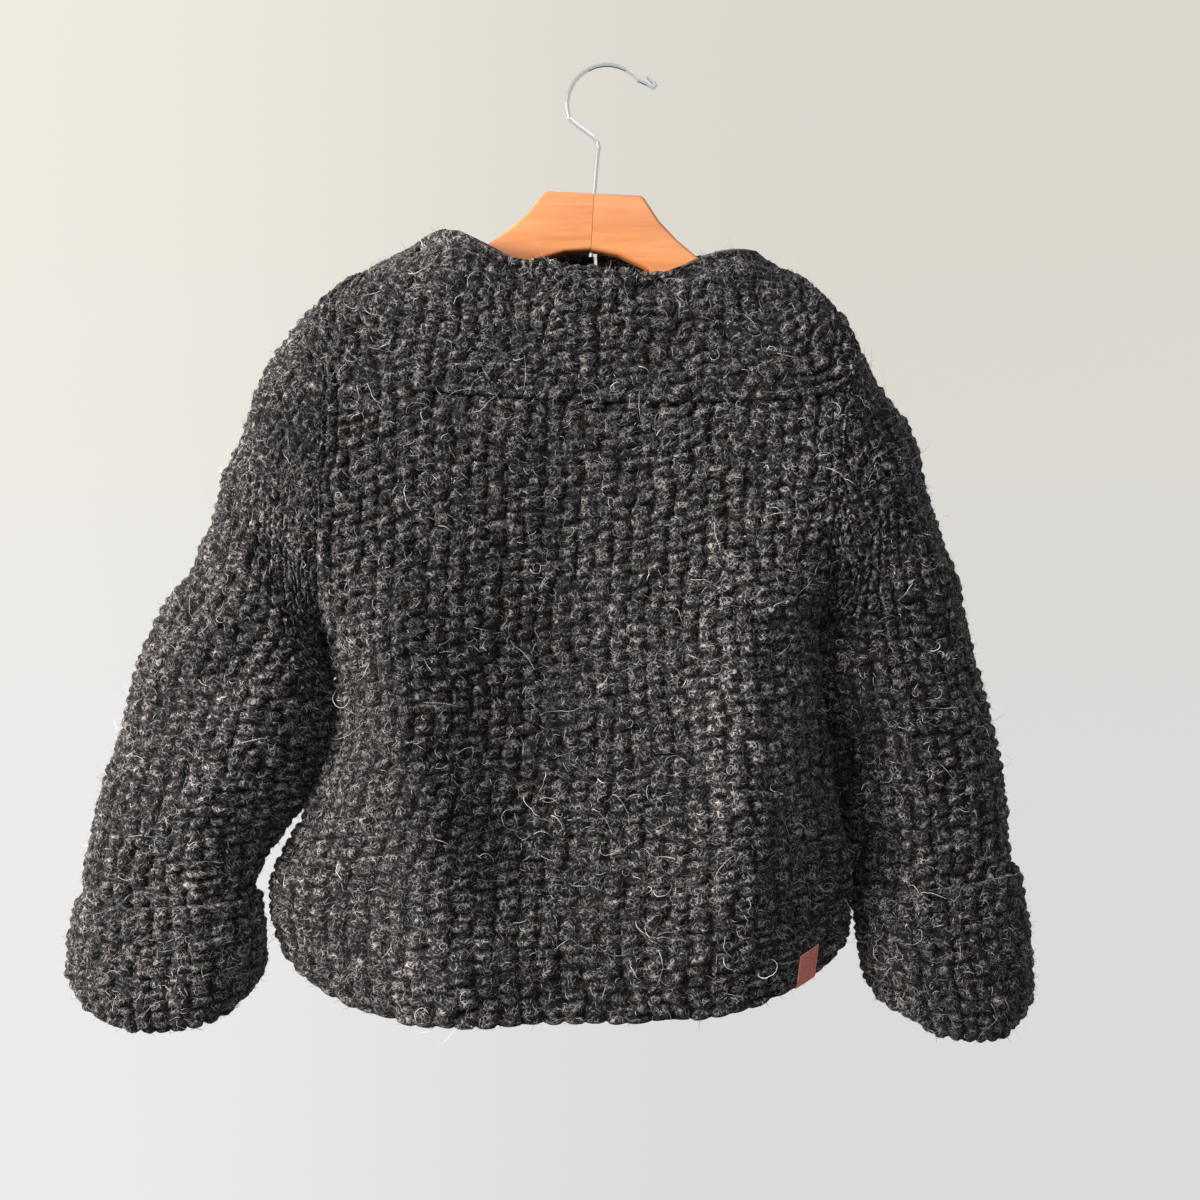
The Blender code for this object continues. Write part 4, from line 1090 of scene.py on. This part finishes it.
def leather_material(name):
    """Smooth brick-red leather with a fine grain and darker creases."""
    grain, looks = {"scale": 650.0, "detail": 4.0}, {"Roughness": 0.55}
    return grained_material(name, LEATHER_DARK, LEATHER_LIGHT, (0.3, 0.7), grain, (0.3, 0.0003), looks)


def plain_material(name, colour, roughness, metallic=0.0):
    """A plain Principled material."""
    add, finish = nodes_of(name)
    return finish({"Base Color": (*colour, 1), "Roughness": roughness, "Metallic": metallic})


def area_light(name, at, size, energy, colour):
    """A soft square light that looks at the jacket's middle."""
    data = bpy.data.lights.new(name, "AREA")
    data.size, data.energy, data.color = size, energy, colour
    lamp = placed(name, data)
    lamp.location = at
    lamp.rotation_euler = (Vector(LIT_POINT) - Vector(at)).to_track_quat("-Z", "Y").to_euler()


def backdrop():
    """A plain pale room far round the object: its wall glows with painted light, brighter on the left and
    changing in tone from top to bottom, and lights nothing, over a pale floor.
    """
    world = bpy.data.worlds.new("room")
    bpy.context.scene.world = world
    world.use_nodes = True
    sky = world.node_tree.nodes["Background"].inputs
    sky["Color"].default_value = (*AMBIENT, 1)
    sky["Strength"].default_value = AMBIENT_STRENGTH
    add, finish = nodes_of("pale_wall")
    place = add("TexCoord", out="Object")
    spread = []
    for axis, (start, stop) in (("X", WALL_SPREAD_X), ("Z", WALL_SPREAD_Z)):
        limits = {"Value": add("SeparateXYZ", {0: place}, axis), "From Min": start, "From Max": stop}
        spread.append(add("MapRange", limits, interpolation_type="SMOOTHSTEP"))

    def mixed(share, a, b):
        return add("Mix", {"Factor": share, "A": a, "B": b}, "Result", data_type="RGBA")

    high, low = (mixed(spread[0], *ends) for ends in (WALL_HIGH, WALL_LOW))
    glow = add("Emission", {"Color": mixed(spread[1], high, low)})
    wall = finish({"Surface": glow}, "Material Output")
    turn = np.linspace(0, 2 * math.pi, ROOM_SIDES + 1)[:-1]
    rings = [
        (ROOM_RADIUS - ROOM_CURVE * (1 - math.sin(a)), FLOOR_Z + ROOM_CURVE * (1 - math.cos(a)))
        for a in np.radians(np.linspace(0, 90, 13))
    ]
    rings += [(ROOM_RADIUS, ROOM_TOP), (0.01, ROOM_TOP + 0.5)]
    points = [(r * math.cos(t), r * math.sin(t), z) for r, z in rings for t in turn]
    for name, faces, material in (
        ("room_wall", grid_faces(len(rings), ROOM_SIDES, True).tolist(), wall),
        ("room_floor", [tuple(range(ROOM_SIDES))], plain_material("pale_floor", (0.72, 0.70, 0.66), 0.9)),
    ):
        mesh = bpy.data.meshes.new(name)
        mesh.from_pydata(points, [], faces)
        mesh.shade_smooth()
        mesh.materials.append(material)
        piece = placed(name, mesh)
        piece.visible_diffuse = False
        piece.visible_glossy = name == "room_wall"
        piece.visible_shadow = False


scene = bpy.context.scene
for old in list(bpy.data.objects):
    bpy.data.objects.remove(old)
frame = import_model()

cloth = {
    "back": body_panel("back_knit", "back", 0, 11),
    "left_front": body_panel("left_front_knit", "front", -1, 21),
    "right_front": body_panel("right_front_knit", "front", 1, 31),
    "left_sleeve": sleeve_piece("left", LEFT_SLEEVE, 41),
    "right_sleeve": sleeve_piece("right", RIGHT_SLEEVE, 51),
    "left_cuff": cuff_piece("left", LEFT_SLEEVE, 61),
    "right_cuff": cuff_piece("right", RIGHT_SLEEVE, 71),
    "collar": collar_piece(81),
}
wool = wool_material("wool_melange", WOOL_GROUND, WOOL_FIBRE, FIBRE_STRENGTH)
pale, white = hair_material("pale_fibre", HAIR_PALE), hair_material("white_fibre", HAIR_WHITE)
rests = {"back": ["left_hanger_arm", "right_hanger_arm"], "collar": ["back"]}
for node, piece in cloth.items():
    piece.data.materials.append(wool)
    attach(piece, "root")
    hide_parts(node)
    held = "folded" if "cuff" in node or node == "collar" else "hung"
    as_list(rests.get(node, ["back"]))

for name, parts, short, long, seed in HAIR_SETS:
    sources = [cloth[part] for part in parts]
    curls = hairs(name, sources, short, seed, pale, *SHORT_HAIRS)
    strays = hairs(name + "_long", sources, long, seed + 9, white, *LONG_HAIRS)
    for piece in (curls, strays):
        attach(piece, "root")

hard = {
    "left_hanger_arm": wood_material("left_wood", math.radians(-32)),
    "right_hanger_arm": wood_material("right_wood", math.radians(32)),
    "hook_wire": plain_material("hook_steel", (0.62, 0.63, 0.65), 0.22, 1.0),
    "hem_tag": leather_material("tag_hide"),
}
for node, material in hard.items():
    piece = frame["nodes"][node]
    if "arm" in node:
        piece = hanger_arm(node.replace("hanger", "wooden"), -1 if "left" in node else 1)
        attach(piece, "root")
        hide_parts(node)
    piece.data.materials.clear()
    piece.data.materials.append(material)

backdrop()
for light in LIGHTS:
    area_light(*light)

camera = placed("camera", bpy.data.cameras.new("camera"))
camera.location = CAMERA_AT
camera.rotation_euler = (math.pi / 2, 0, 0)
camera.data.angle = CAMERA_ANGLE
camera.data.clip_end = 20
scene.camera = camera
scene.view_settings.view_transform = "Standard"
